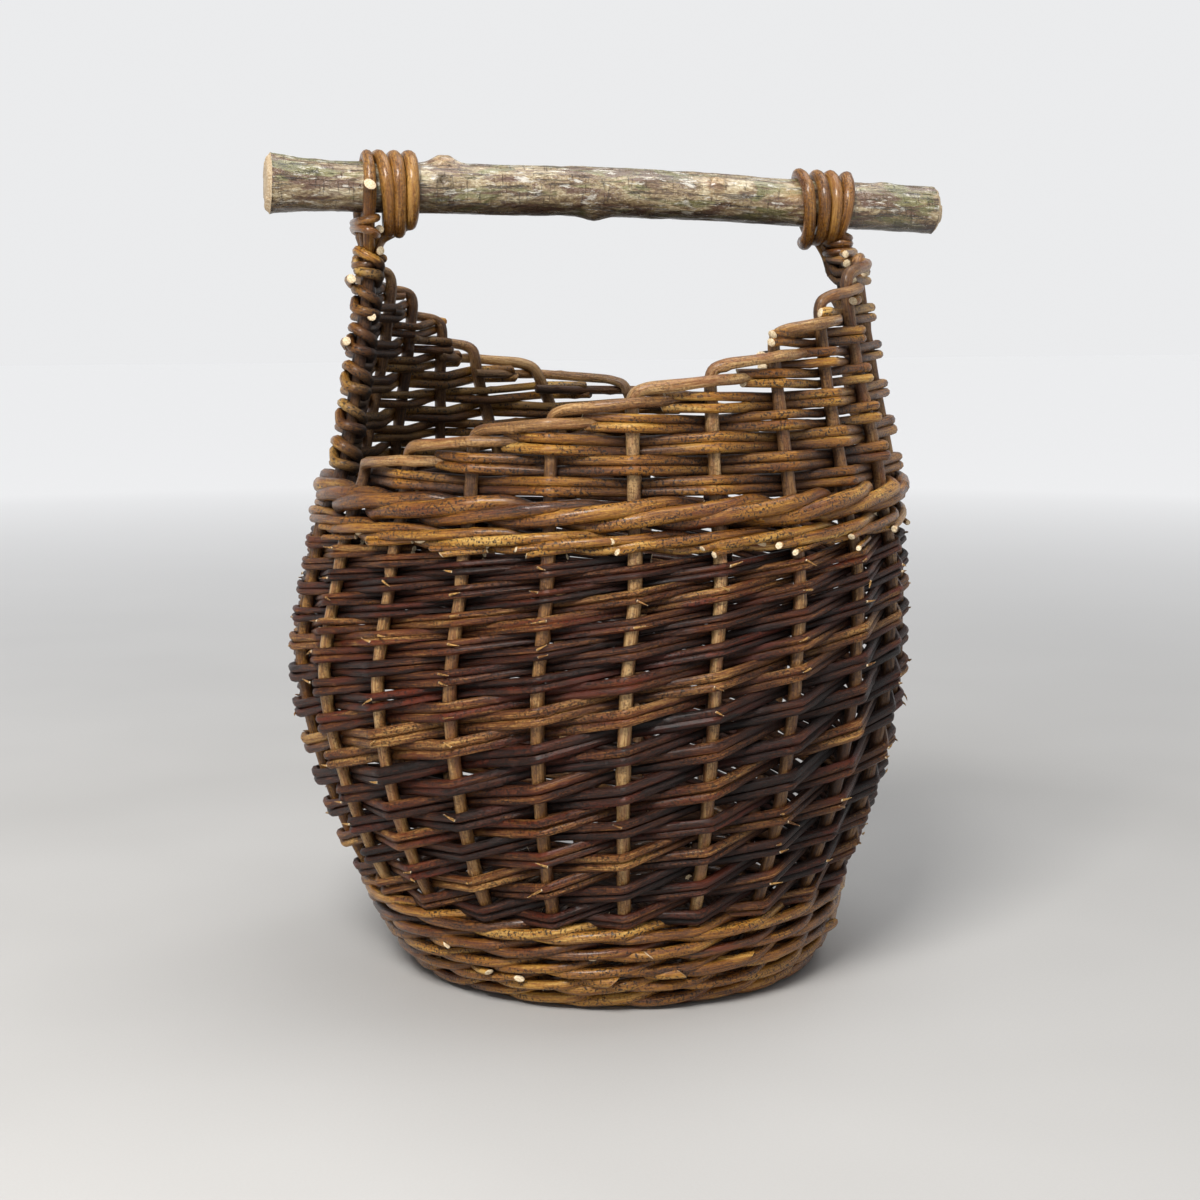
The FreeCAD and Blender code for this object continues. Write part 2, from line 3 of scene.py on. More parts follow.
import bpy
import numpy as np
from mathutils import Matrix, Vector


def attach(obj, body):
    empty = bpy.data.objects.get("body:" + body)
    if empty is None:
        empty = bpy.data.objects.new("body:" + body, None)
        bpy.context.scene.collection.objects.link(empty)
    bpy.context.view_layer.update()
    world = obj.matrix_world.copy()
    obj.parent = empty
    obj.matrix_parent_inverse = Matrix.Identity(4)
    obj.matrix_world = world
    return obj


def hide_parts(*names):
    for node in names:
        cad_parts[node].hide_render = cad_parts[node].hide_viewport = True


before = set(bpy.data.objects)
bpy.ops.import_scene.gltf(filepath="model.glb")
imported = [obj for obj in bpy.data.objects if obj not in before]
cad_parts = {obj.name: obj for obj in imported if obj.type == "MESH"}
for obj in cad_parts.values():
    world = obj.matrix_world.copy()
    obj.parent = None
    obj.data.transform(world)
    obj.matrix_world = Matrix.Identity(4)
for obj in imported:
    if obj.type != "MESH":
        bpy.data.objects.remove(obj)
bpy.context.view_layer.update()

MM = 0.001
rng = np.random.default_rng(20)

# ---------------------------------------------------------------- the wall, in mm
UPRIGHTS = 22             # twenty stakes and two posts
HALF = UPRIGHTS // 2      # from one post to the other
PITCH = 360.0 / UPRIGHTS
STAKE_R = 3.9
STAKE_DEPTH = 10.0        # from the outside of the wall in to the middle of a stake
POST_HALF = 4.5           # half the distance between the two rods of a post
# outside radius, height, bulge up to the next station
STATIONS = ((126, 0, 1.0), (145.3, 20, 2.1), (160, 58, 7.9), (200, 203, 0.9), (192, 284, 0.1),
            (190.2, 295, 0.1), (186.3, 316, 0.2), (180.5, 349, 0), (170, 415, 0), (164, 470, 0),
            (160, 510, 0))
CAMERA_YAW = math.radians(12.5)
RIGHT = np.array([math.cos(CAMERA_YAW), -math.sin(CAMERA_YAW), 0.0])
AWAY = np.array([math.sin(CAMERA_YAW), math.cos(CAMERA_YAW), 0.0])


def profile():
    """Heights up the wall, with its outside radius and its slope at each."""
    heights, radii = [], []
    for (r0, z0, bulge), (r1, z1, _) in zip(STATIONS, STATIONS[1:]):
        t = np.linspace(0, 1, 40, endpoint=False)
        heights.append(z0 + (z1 - z0) * t)
        radii.append(r0 + (r1 - r0) * t + 4 * bulge * t * (1 - t))
    z = np.concatenate(heights + [[STATIONS[-1][1]]])
    r = np.concatenate(radii + [[STATIONS[-1][0]]])
    kernel = np.ones(21) / 21
    slope = np.convolve(np.pad(np.gradient(r, z), 10, mode="edge"), kernel, "valid")
    return z, r, slope


WALL_Z, WALL_R, WALL_SLOPE = profile()
WALL_ARC = np.concatenate([[0], np.cumsum(np.hypot(np.diff(WALL_Z), np.diff(WALL_R)))])
# degrees that each upright stands off its even place, low down and at the rim
NUMBERS = np.arange(UPRIGHTS + 1)
LEAN = np.array([1.7 * math.sin(math.pi * k / 5.5) if k <= 5.5 else 0.0 for k in NUMBERS])
LEAN[:UPRIGHTS] += rng.normal(0, 0.28, UPRIGHTS)
LEAN[HALF + 1:UPRIGHTS] += (0.3, 1.0, 2.0, 3.0, 4.0, 4.8, 4.5, 2.5, -0.3, 0.0)
RIM_LEAN = np.zeros(UPRIGHTS + 1)
RIM_LEAN[7:10] = (-0.7, -2.1, -3.4)
RIM_LEAN[HALF + 1:UPRIGHTS] = (0, 1.0, 3.0, 6.0, 9.5, 8.0, 2.5, -1.0, -3.5, 0)
# the posts don't lean, and the last number is the left post again
LEAN[[0, HALF, UPRIGHTS]] = 0.0
WOBBLE = rng.uniform(0, 2 * math.pi, UPRIGHTS + 1)
WOBBLE[UPRIGHTS] = WOBBLE[0]


def height_at(arc):
    return np.interp(arc, WALL_ARC, WALL_Z)


def arc_at(z):
    return np.interp(z, WALL_Z, WALL_ARC)


def stake_circle(z):
    """Radius of the circle on which the stakes stand."""
    return np.interp(z, WALL_Z, WALL_R) - STAKE_DEPTH


def drift(z, azimuth):
    """A hand-made basket leans a little one way and the other as it goes up."""
    side = np.interp(z, [0, 22, 50, 90, 130, 170, 210, 235, 260, 285],
                     [5, 2, -2, -4.4, -5.6, -6.3, -5.6, -3.4, -1, -0.5])
    left = np.interp(z, [290, 325, 445, 470], [0, 6.5, 6.5, 3.5])
    right = np.interp(z, [290, 320, 345, 380, 415, 445], [0, 6, 3.2, 1.0, 0, -1.5])
    ear = np.where(np.cos(azimuth) < 0, left, right) * np.abs(np.cos(azimuth)) ** 6
    return (side + ear)[..., None] * RIGHT


def drift_at(z, side):
    """The drift at the left or the right post."""
    return drift(np.array(z), np.array(math.pi if side == "left" else 0.0))


def on_wall(n, z, off):
    """n counts stakes round the wall from the left post, off goes out from the stakes."""
    n, z, off = np.broadcast_arrays(np.asarray(n, float), np.asarray(z, float),
                                    np.asarray(off, float))
    m = np.mod(n, UPRIGHTS)
    lean = np.interp(m, NUMBERS, LEAN)
    lean = lean + np.interp(m, NUMBERS, RIM_LEAN) * np.interp(z, [312, 378], [0, 1])
    phase = np.interp(m, NUMBERS, WOBBLE)
    azimuth = np.radians(180 + PITCH * n + lean + 0.22 * np.sin(z / 46 + phase))
    depth = np.interp(z, [0, 50, 66, 250, 280, 291, 306, 325, 345, 420],
                      [12.2, 11.8, 9.4, 8.4, 8.8, 10.4, 11.8, 10.6, 10, 9.6])
    slope = np.interp(z, WALL_Z, WALL_SLOPE)
    out_r = 1 / np.sqrt(1 + slope ** 2)
    out_z = -slope * out_r
    r = np.interp(z, WALL_Z, WALL_R) - depth + off * out_r + 0.7 * np.sin(z / 37 + 2.3 * phase)
    point = np.stack([r * np.cos(azimuth), r * np.sin(azimuth), z + off * out_z], -1)
    return point + drift(z, azimuth)


OPEN_ABOVE = 448.0        # above this height a rod is lit from all sides


def painted_light_level(points):
    """Painted shade: 0 deep behind the stakes and inside the wall, where it is darkest, to 1
    outside and at the top.
    """
    radius = np.hypot(points[:, 0], points[:, 1])
    out = np.interp(radius - stake_circle(points[:, 2]), [-13, -2, 9], [0.0, 0.45, 1.0])
    return np.where(points[:, 2] > OPEN_ABOVE, 1.0, out)


# ---------------------------------------------------------------- rods
def smooth(points, values, sigma, step):
    """Straight runs between the points, rounded at the kinks as a bent rod is."""
    points = np.asarray(points, float)
    run = np.concatenate([[0], np.cumsum(np.linalg.norm(np.diff(points, axis=0), axis=1))])
    half = int(3 * sigma)
    count = max(int(run[-1]), half + 2)
    t = np.linspace(0, run[-1], count + 1)
    dense = np.stack([np.interp(t, run, points[:, a]) for a in range(3)], 1)
    head = 2 * dense[0] - dense[half:0:-1]
    tail = 2 * dense[-1] - dense[-2:-half - 2:-1]
    kernel = np.exp(-0.5 * (np.arange(-half, half + 1) / sigma) ** 2)
    kernel /= kernel.sum()
    padded = np.vstack([head, dense, tail])
    line = np.stack([np.convolve(padded[:, a], kernel, "valid") for a in range(3)], 1)
    keep = np.linspace(0, count, max(int(run[-1] / step), 4) + 1).round().astype(int)
    return line[keep], np.interp(t[keep], run, values)


def frames(line):
    """Tangents, and normals carried along the line without twist."""
    tangent = np.gradient(line, axis=0)
    tangent /= np.linalg.norm(tangent, axis=1)[:, None]
    start = np.cross(tangent[0], (0.31, 0.17, 0.93))
    if np.linalg.norm(start) < 0.2:
        start = np.cross(tangent[0], (0.9, 0.3, 0.1))
    normals = [start / np.linalg.norm(start)]
    for now in tangent[1:]:
        n = normals[-1]
        n = n - now * float(n @ now)
        normals.append(n / math.sqrt(float(n @ n)))
    normal = np.array(normals)
    return tangent, normal, np.cross(tangent, normal)


def tube_faces(rings, sides):
    """Quads of a tube whose points run round ring after ring."""
    start = np.arange(rings - 1)[:, None] * sides
    here = start + np.arange(sides)[None, :]
    beside = start + (np.arange(sides)[None, :] + 1) % sides
    return np.stack([here, beside, beside + sides, here + sides], -1).reshape(-1, 4)


CUT_INSET = 0.84          # the flat of a rod's cut end, as a share of its thickness


class Piece:
    """Rods gathered into one object."""

    def __init__(self, name):
        self.name = name
        self.count = 0
        self.points, self.fibres, self.tints = [], [], []
        self.faces, self.cut_faces = [], []

    def add(self, points, fibre, tint, faces, cut_faces=()):
        self.points.append(points)
        self.fibres.append(fibre)
        self.tints.append(np.broadcast_to(tint, points.shape))
        self.faces.extend((np.asarray(faces) + self.count).tolist())
        self.cut_faces.extend([[i + self.count for i in face] for face in cut_faces])
        self.count += len(points)

    def rod(self, points, radii, look, sigma=3.0, step=2.6, sides=9, buds=True,
            tilt=(0.25, 0.25)):
        """One willow rod. look is (tone, redness); tilt is the slope of each end's cut.

        sigma is how softly it bends and step the distance between its rings.
        """
        radii = np.broadcast_to(np.asarray(radii, float), (len(points),))
        line, radius = smooth(points, radii, sigma, step)
        tangent, normal, binormal = frames(line)
        s = np.concatenate([[0], np.cumsum(np.linalg.norm(np.diff(line, axis=0), axis=1))])
        rings = len(line)
        theta = np.arange(sides) * 2 * math.pi / sides + rng.uniform(0, 1)
        wave = (1 + 0.035 * np.sin(s / 17 + rng.uniform(0, 6)) + 0.03 * np.sin(s / 6.3))
        shape = np.ones((rings, sides)) * (radius * wave)[:, None]
        shape *= 1 + 0.05 * np.cos(2 * theta + rng.uniform(0, 6))[None, :]
        if buds:
            at, turn = rng.uniform(5, 40), rng.uniform(0, 6)
            while at < s[-1] - 4:
                ring = int(np.argmin(np.abs(s - at)))
                away = np.cos(theta - turn)
                hump = np.exp(-((s - s[ring]) / 2.6) ** 2)[:, None]
                shape += hump * np.exp(-(1 - away) * 4)[None, :] * 0.2 * radius[ring]
                at += rng.uniform(24, 60)
                turn += 2.4
        ring_points = (line[:, None, :] + shape[..., None]
                       * (np.cos(theta)[None, :, None] * normal[:, None, :]
                          + np.sin(theta)[None, :, None] * binormal[:, None, :]))
        lean = [np.cos(theta - rng.uniform(0, 6)) for _ in range(2)]
        for end, sign in ((0, -1), (1, 1)):
            for back, share in enumerate((1.0, 0.55, 0.2)):
                k = back if end == 0 else rings - 1 - back
                shift = tilt[end] * lean[end] * shape[k] * share * sign
                ring_points[k] += shift[:, None] * tangent[k]
        caps, cap_faces = [], []
        base = rings * sides
        for end, sign in ((0, -1), (1, 1)):
            k = 0 if end == 0 else rings - 1
            centre = ring_points[k].mean(0)
            inner = centre + (ring_points[k] - centre) * CUT_INSET + sign * tangent[k] * 0.35
            caps.append(inner)
            first = k * sides
            for i in range(sides):
                j = (i + 1) % sides
                quad = [first + i, first + j, base + j, base + i]
                cap_faces.append(quad[::-1] if end == 0 else quad)
            face = [base + i for i in range(sides)]
            cap_faces.append(face[::-1] if end == 0 else face)
            base += sides
        seed = rng.uniform(0, 40)
        around = np.stack([np.broadcast_to((s * MM + seed)[:, None], shape.shape),
                           shape * np.cos(theta) * MM, shape * np.sin(theta) * MM], -1)
        shrink = (1, CUT_INSET, CUT_INSET)
        cap_fibre = np.concatenate([around[0] * shrink, around[-1] * shrink])
        surface = np.concatenate([ring_points.reshape(-1, 3)] + caps)
        tint = np.empty(surface.shape)
        # the third value of tint is the painted shade level, 0 darkest to 1 fully lit
        tint[:, 0], tint[:, 1], tint[:, 2] = look[0], look[1], painted_light_level(surface)
        self.add(surface, np.concatenate([around.reshape(-1, 3), cap_fibre]), tint,
                 tube_faces(rings, sides), cap_faces)

    def course(self, keys, look, *bends, **ends):
        """A rod woven through keys of (stake, height, out from the stakes, thickness)."""
        numbers, heights, offs, radii = (np.array(v, float) for v in zip(*keys))
        self.rod(on_wall(numbers, heights, offs), radii, look, *bends, **ends)

    def finish(self, bark, cut, slot, nodes):
        """The object with its two materials: bark, and cut on the ends of its rods."""
        mesh = bpy.data.meshes.new(self.name)
        points = np.concatenate(self.points) * MM
        mesh.from_pydata(points.tolist(), [], self.faces + self.cut_faces)
        mesh.materials.append(bark)
        mesh.materials.append(cut)
        index = np.zeros(len(mesh.polygons), np.int32)
        index[len(self.faces):] = 1
        mesh.polygons.foreach_set("material_index", index)
        mesh.polygons.foreach_set("use_smooth", np.ones(len(index), bool))
        for key, data in (("fibre", self.fibres), ("tint", self.tints)):
            attribute = mesh.attributes.new(key, "FLOAT_VECTOR", "POINT")
            attribute.data.foreach_set("vector", np.concatenate(data).astype(np.float32).ravel())
        mesh.set_sharp_from_angle(angle=math.radians(48))
        piece = bpy.data.objects.new(self.name, mesh)
        bpy.context.scene.collection.objects.link(piece)
        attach(piece, "root")
        if nodes:
            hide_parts(*nodes)
        return piece


# ---------------------------------------------------------------- materials
def srgb(*rgb):
    return tuple(((c / 255) / 12.92 if c <= 10 else ((c / 255 + 0.055) / 1.055) ** 2.4)
                 for c in rgb) + (1.0,)


class Nodes:
    """A small helper to write a material's node tree."""

    def __init__(self, name):
        self.material = bpy.data.materials.new(name)
        self.material.use_nodes = True
        self.tree = self.material.node_tree
        self.shader = self.tree.nodes["Principled BSDF"]

    def new(self, kind, **settings):
        node = self.tree.nodes.new(kind)
        for key, value in settings.items():
            setattr(node, key, value)
        return node

    def link(self, a, b):
        self.tree.links.new(a, b)

    def attribute(self, name):
        return self.new("ShaderNodeAttribute", attribute_name=name).outputs["Vector"]

    def math(self, operation, a, b=0.0, clamp=False):
        node = self.new("ShaderNodeMath", operation=operation, use_clamp=clamp)
        for socket, value in zip(node.inputs, (a, b)):
            if isinstance(value, (int, float)):
                socket.default_value = value
            else:
                self.link(value, socket)
        return node.outputs[0]

    def scaled(self, vector, scale):
        node = self.new("ShaderNodeVectorMath", operation="MULTIPLY")
        self.link(vector, node.inputs[0])
        node.inputs[1].default_value = scale
        return node.outputs[0]

    def noise(self, vector, scale, detail=3.0, rough=0.55, distortion=0.0):
        node = self.new("ShaderNodeTexNoise")
        self.link(self.scaled(vector, scale), node.inputs["Vector"])
        node.inputs["Scale"].default_value = 1.0
        node.inputs["Detail"].default_value = detail
        node.inputs["Roughness"].default_value = rough
        node.inputs["Distortion"].default_value = distortion
        return node.outputs["Fac"]

    def ramp(self, value, stops):
        node = self.new("ShaderNodeValToRGB")
        elements = node.color_ramp.elements
        while len(elements) < len(stops):
            elements.new(0.5)
        for element, (at, colour) in zip(elements, stops):
            element.position = at
            element.color = colour
        self.link(value, node.inputs[0])
        return node.outputs["Color"]

    def band(self, value, low, high, start=0.0, end=1.0):
        """start below low, end above high."""
        node = self.new("ShaderNodeMapRange")
        self.link(value, node.inputs["Value"])
        for key, number in (("From Min", low), ("From Max", high), ("To Min", start),
                            ("To Max", end)):
            node.inputs[key].default_value = number
        return node.outputs["Result"]

    def split(self, vector):
        node = self.new("ShaderNodeSeparateXYZ")
        self.link(vector, node.inputs[0])
        return node.outputs

    def length(self, vector):
        node = self.new("ShaderNodeVectorMath", operation="LENGTH")
        self.link(vector, node.inputs[0])
        return node.outputs["Value"]

    def mix(self, factor, a, b, blend="MIX"):
        node = self.new("ShaderNodeMix", data_type="RGBA", blend_type=blend)
        for socket, value in ((node.inputs[0], factor), (node.inputs[6], a), (node.inputs[7], b)):
            if isinstance(value, (int, float, tuple)):
                socket.default_value = value
            else:
                self.link(value, socket)
        return node.outputs[2]

    def bump(self, height, distance, strength=1.0, under=None):
        node = self.new("ShaderNodeBump")
        node.inputs["Distance"].default_value = distance
        node.inputs["Strength"].default_value = strength
        self.link(height, node.inputs["Height"])
        if under is not None:
            self.link(under, node.inputs["Normal"])
        return node.outputs["Normal"]

    def output(self, colour, roughness, normal, specular=0.5):
        self.link(colour, self.shader.inputs["Base Color"])
        self.link(roughness, self.shader.inputs["Roughness"])
        self.link(normal, self.shader.inputs["Normal"])
        self.shader.inputs["Specular IOR Level"].default_value = specular
        return self.material


def willow(name, stops, red, spot, gloss=(0.34, 0.62), spots=0.5, coat=0.12, specular=0.4):
    """Bark of a willow rod: a tone for each rod, streaks, patches and speckles along it, and
    painted shade deep in the wall.
    """
    n = Nodes(name)
    fibre = n.attribute("fibre")
    rod_tone, redness, painted_light_mask = n.split(n.attribute("tint"))
    broad = n.noise(fibre, (16, 130, 130), 3)
    streak = n.noise(fibre, (60, 1300, 1300), 4, 0.65)
    grain = n.noise(fibre, (520, 1100, 1100), 4, 0.7)
    tone = n.math("ADD", rod_tone, n.math("MULTIPLY", n.math("SUBTRACT", broad, 0.5), 1.3))
    tone = n.math("ADD", tone, n.math("MULTIPLY", n.math("SUBTRACT", streak, 0.5), 1.35))
    tone = n.math("ADD", tone, n.math("MULTIPLY", n.math("SUBTRACT", grain, 0.5), 0.8), True)
    colour = n.ramp(tone, stops)
    patch = n.band(n.noise(fibre, (26, 170, 170), 4, 0.6, 0.4), 0.48, 0.62)
    colour = n.mix(n.math("MULTIPLY", patch, redness, True), colour, red)
    speck_noise = n.noise(fibre, (760, 640, 640), 3, 0.6)
    where = n.band(n.noise(fibre, (34, 190, 190), 3), 0.38, 0.52)
    speck = n.math("MULTIPLY", n.band(speck_noise, 0.53, 0.58), where, True)
    colour = n.mix(n.math("MULTIPLY", speck, spots), colour, spot)
    # painted shade: the colour is darkened deep behind the stakes and inside the wall
    shade = n.ramp(painted_light_mask, ((0.0, (0.1, 0.08, 0.07, 1)), (0.45, (0.36, 0.31, 0.27, 1)),
                              (0.9, (1, 1, 1, 1))))
    colour = n.mix(1.0, colour, shade, "MULTIPLY")
    wear = n.math("ADD", n.math("MULTIPLY", grain, 0.5), n.math("MULTIPLY", broad, 0.5))
    rough = n.band(wear, 0.36, 0.64, *gloss)
    normal = n.bump(streak, 0.0006, 0.85)
    normal = n.bump(n.math("SUBTRACT", grain, n.math("MULTIPLY", speck, 0.9)), 0.0005, 0.85,
                    normal)
    n.shader.inputs["Coat Weight"].default_value = coat
    n.shader.inputs["Coat Roughness"].default_value = 0.2
    dull = n.math("SUBTRACT", 1.0, painted_light_mask)
    return n.output(colour, n.math("MAXIMUM", rough, dull), normal, specular)


def cut_wood():
    """Pale wood where a rod was cut, darker towards its bark."""
    n = Nodes("cut_wood")
    _, wide, high = n.split(n.attribute("fibre"))
    across = n.new("ShaderNodeCombineXYZ")
    n.link(wide, across.inputs[0])
    n.link(high, across.inputs[1])
    pattern = n.noise(across.outputs[0], (900, 900, 900), 3)
    colour = n.ramp(pattern, ((0.3, srgb(168, 136, 98)), (0.55, srgb(216, 198, 164)),
                              (0.75, srgb(230, 218, 194))))
    edge = n.band(n.length(across.outputs[0]), 0.0023, 0.0045)
    colour = n.mix(n.math("MULTIPLY", edge, 0.35), colour, srgb(120, 84, 50))
    rough = n.band(pattern, -1.2, 1.2)
    return n.output(colour, rough, n.bump(pattern, 0.0004, 0.7))


# tones of bark from its darkest to its palest
GOLD = ((0.0, srgb(34, 17, 5)), (0.25, srgb(80, 43, 12)), (0.5, srgb(132, 82, 22)),
        (0.75, srgb(168, 118, 40)), (1.0, srgb(204, 164, 88)))
DARK = ((0.0, srgb(16, 6, 3)), (0.3, srgb(50, 22, 10)), (0.5, srgb(82, 43, 19)),
        (0.72, srgb(122, 77, 35)), (1.0, srgb(182, 140, 80)))
STAKE = ((0.0, srgb(58, 34, 15)), (0.35, srgb(104, 68, 32)), (0.6, srgb(148, 106, 56)),
         (1.0, srgb(206, 170, 116)))
GLOSSY = ((0.0, srgb(44, 23, 8)), (0.35, srgb(90, 54, 18)), (0.6, srgb(136, 90, 32)),
          (1.0, srgb(184, 140, 72)))
gold = willow("willow_golden", GOLD, srgb(96, 38, 12), srgb(26, 12, 5), (0.26, 0.55), 0.9, 0.25)
dark = willow("willow_dark", DARK, srgb(92, 34, 10), srgb(12, 6, 3), (0.34, 0.62), 0.7, 0.06,
              0.28)
panel_bark = willow("willow_panel", GOLD, srgb(96, 42, 14), srgb(28, 14, 6), (0.26, 0.52), 0.9,
                    0.15)
stake_bark = willow("willow_stake", STAKE, srgb(120, 62, 34), srgb(60, 34, 20), (0.26, 0.5), 0.5,
                    0.2)
post_bark = willow("willow_post", GLOSSY, srgb(104, 50, 26), srgb(48, 28, 16), (0.3, 0.56), 0.5)
lash_bark = willow("willow_lashing", GLOSSY, srgb(110, 58, 20), srgb(50, 26, 10), (0.2, 0.42),
                   0.4, 0.4)
base_bark = willow("willow_base", GOLD, srgb(96, 46, 26), srgb(46, 28, 16), (0.4, 0.7), 0.6)
cut = cut_wood()


# ---------------------------------------------------------------- uprights
RIM = (327, 340, 351, 363, 375, 388, 407, 426, 441, 454)   # where each stake bends over
BASE_Z = 12.0
STICK_R = 5.0
FOOT_TOP = 34.0           # where an upright has left the base and stands in the wall
KEY_STEP = 14.0           # between the points that its course is laid through


def foot(azimuth, side):
    """A stake's foot lies beside a stick of the base, in the base."""
    a = math.radians(azimuth)
    out = np.array([math.cos(a), math.sin(a), 0])
    beside = np.array([-math.sin(a), math.cos(a), 0]) * side * (STICK_R + STAKE_R + 0.3)
    shift = drift(np.array(BASE_Z), np.array(a))
    return [out * r + beside + shift + (0, 0, BASE_Z) for r in (76.0, 100.0, 121.0)]


def add_stake(name, n, rim, node):
    """Upright n, from the base to its rim, where it bends over and lies down on its step."""
    piece = Piece(name)
    front = n < HALF
    local = (n - 1) % HALF + 1
    start = 180.0 if front else 360.0
    points = foot(start + ((local + 1) // 2) * 30.0, -1 if local % 2 else 1)
    levels = np.arange(FOOT_TOP, rim - KEY_STEP, KEY_STEP)
    points += list(on_wall(n, levels, 0.0))
    # each point: stakes further on, height, out from the stakes. A tail ends behind the next
    # stake but one, and the one beside the post is cut off short
    if local == HALF - 1:
        tail = [(0, rim - 10, 0), (0.05, rim - 6, 1.5), (0.25, rim - 4.5, 5), (0.6, rim - 6, 7)]
    else:
        tail = [(0, rim - 7, 0), (0.03, rim - 1.5, 1.5), (0.2, rim + 1, 4.2),
                (0.6, rim + 2.5, 6.8), (1, rim + 4.5, 7.7), (1.35, rim + 5.5, 3),
                (2, rim + 8.5, -7.4), (2.15, rim + 9, -7.6)]
    radii = [STAKE_R] * len(points)
    for (t, z, off), radius in zip(tail, np.linspace(3.7, 2.9, len(tail))):
        points.append(on_wall(n + t, z, off))
        radii.append(radius)
    piece.rod(points, radii, (rng.uniform(0.4, 0.8), rng.uniform(0.1, 0.6)), 2.2, 2.0, 10)
    # the cut tips of the back stakes take the bark and its painted shade in place of pale cut
    # wood, so they stay dark inside the basket
    piece.finish(stake_bark, cut if front else stake_bark, "stake_willow", [node])


for k in range(1, HALF):
    add_stake(f"stake_rod_front_{k:02d}", k, RIM[k - 1], f"stake_front_{k:02d}")
    add_stake(f"stake_rod_back_{k:02d}", k + HALF, RIM[k - 1], f"stake_back_{k:02d}")

# at the top of a post: place along the handle, half the distance between its rods, height
POST_TOP = {"left": (-156.5, 21.2, 493.5), "right": (154.0, 5.0, 467.0)}


def add_post(side, n, place):
    """One of the two rods that stand side by side up to the handle."""
    sign = -1 if place == "front" else 1
    turn = sign * (-1 if side == "left" else 1)
    points = foot(180.0 if side == "left" else 0.0, turn)
    for z in np.arange(FOOT_TOP, 446, KEY_STEP):
        aside = math.degrees(POST_HALF / stake_circle(z)) / PITCH
        points.append(on_wall(n + turn * aside, z, 0.0))
    x, spread, top = POST_TOP[side]
    moved = drift_at(470.0, side)
    shift = math.degrees(POST_HALF / 160) / PITCH
    points.append(on_wall(n + turn * shift, 452.0, 0.0))
    points.append(np.array([x, sign * spread, top - 12]) + moved)
    lean_out = 1.0 if side == "left" else 0.0
    points.append(np.array([x, sign * (spread + 4 * lean_out), top - 3 * lean_out]) + moved)
    points.append(np.array([x, sign * (spread + 8 * lean_out), top]) + moved)
    piece = Piece(f"post_rod_{side}_{place}")
    piece.rod(points, STAKE_R, (rng.uniform(0.45, 0.65), 0.3), 2.4, 2.2, 10, tilt=(0.2, 0.2))
    piece.finish(post_bark, cut, "post_willow", [f"post_{side}_{place}"])


for side, n in (("left", 0), ("right", HALF)):
    for place in ("front", "back"):
        add_post(side, n, place)

# ---------------------------------------------------------------- siding
# height of a siding pair each time that it passes behind a stake
BEHIND = (60, 74.8, 96.3, 116.3, 135.8, 159.4, 182.2, 202.7, 220.5, 237.4, 252.5, 267.9, 280)


def siding_radius(z):
    return np.interp(z, [60, 85, 116, 147, 171, 192, 220, 245, 268],
                     [2.4, 2.65, 2.65, 2.9, 2.9, 2.7, 2.35, 2.15, 2.0])


def crossing_height(n):
    if n % 2 == 0:
        return BEHIND[n // 2]
    if n == 1:
        return 65.0
    return (BEHIND[n // 2] + BEHIND[n // 2 + 1]) / 2


def crossings(number, z, off, radius):
    """Keypoints of a rod at a stake, or across both rods of a post."""
    if number % HALF == 0:
        half = math.degrees((POST_HALF + 1.5) / stake_circle(z)) / PITCH
        return [(number - half, z, off, radius), (number + half, z, off, radius)]
    return [(number, z, off, radius)]


def shred(piece, n, z, off):
    """A sliver of bark that has come loose from a rod, its foot still on the rod."""
    start = on_wall(n, z, off)
    aside = on_wall(n + 0.05, z, off) - start
    aside /= np.linalg.norm(aside)
    out = start * (1, 1, 0)
    out /= np.linalg.norm(out)
    way = rng.choice((-1, 1)) * aside + rng.normal(0, 0.3) * np.array([0, 0, 1.0])
    length = rng.uniform(3.5, 8)
    points = [start - out * 0.4, start + out * 0.7 + way * length * 0.5,
              start + out * rng.uniform(0.6, 1.6) + way * length]
    piece.rod(points, (0.8, 0.55, 0.2), (rng.uniform(0.8, 1.1), 0.2), 1.0, 1.3, 5, False)


for i in range(UPRIGHTS):
    piece = Piece(f"siding_pair_{i + 1:02d}")
    scale = rng.uniform(0.96, 1.05)
    pair_tone = rng.choice((0.25, 0.38, 0.5, 0.66), p=(0.3, 0.36, 0.22, 0.12))
    pair_red = rng.uniform(0, 1)
    for member in (-1, 1):
        tone = pair_tone + rng.normal(0, 0.06)
        keys = []
        for n in range(2 * len(BEHIND) - 1):
            middle = crossing_height(n)
            radius = siding_radius(middle) * scale * rng.uniform(0.98, 1.03)
            z = middle + member * (radius - 0.1) + rng.normal(0, 0.3)
            side = 1 if n % 2 else -1
            off = side * (STAKE_R + radius - 0.3) + rng.normal(0, 0.2)
            keys += crossings(i + n, z, off, radius)
            if n % 2 and 80 < middle < 275 and rng.uniform() < 0.3:
                shred(piece, i + n + rng.uniform(-0.08, 0.08), z, STAKE_R + 2 * radius - 0.5)
        first, last = keys[0], keys[-1]
        keys.insert(0, (first[0] - 0.22, first[1] - 0.6, first[2] - 0.6, first[3]))
        keys.append((last[0] + 0.2, last[1] + 0.5, last[2] - 0.5, last[3]))
        piece.course(keys, (tone, np.clip(pair_red + rng.normal(0, 0.2), 0, 1)), 1.7, 2.2, 8)
    piece.finish(dark, cut, "dark_siding_willow", ["siding_weave"])


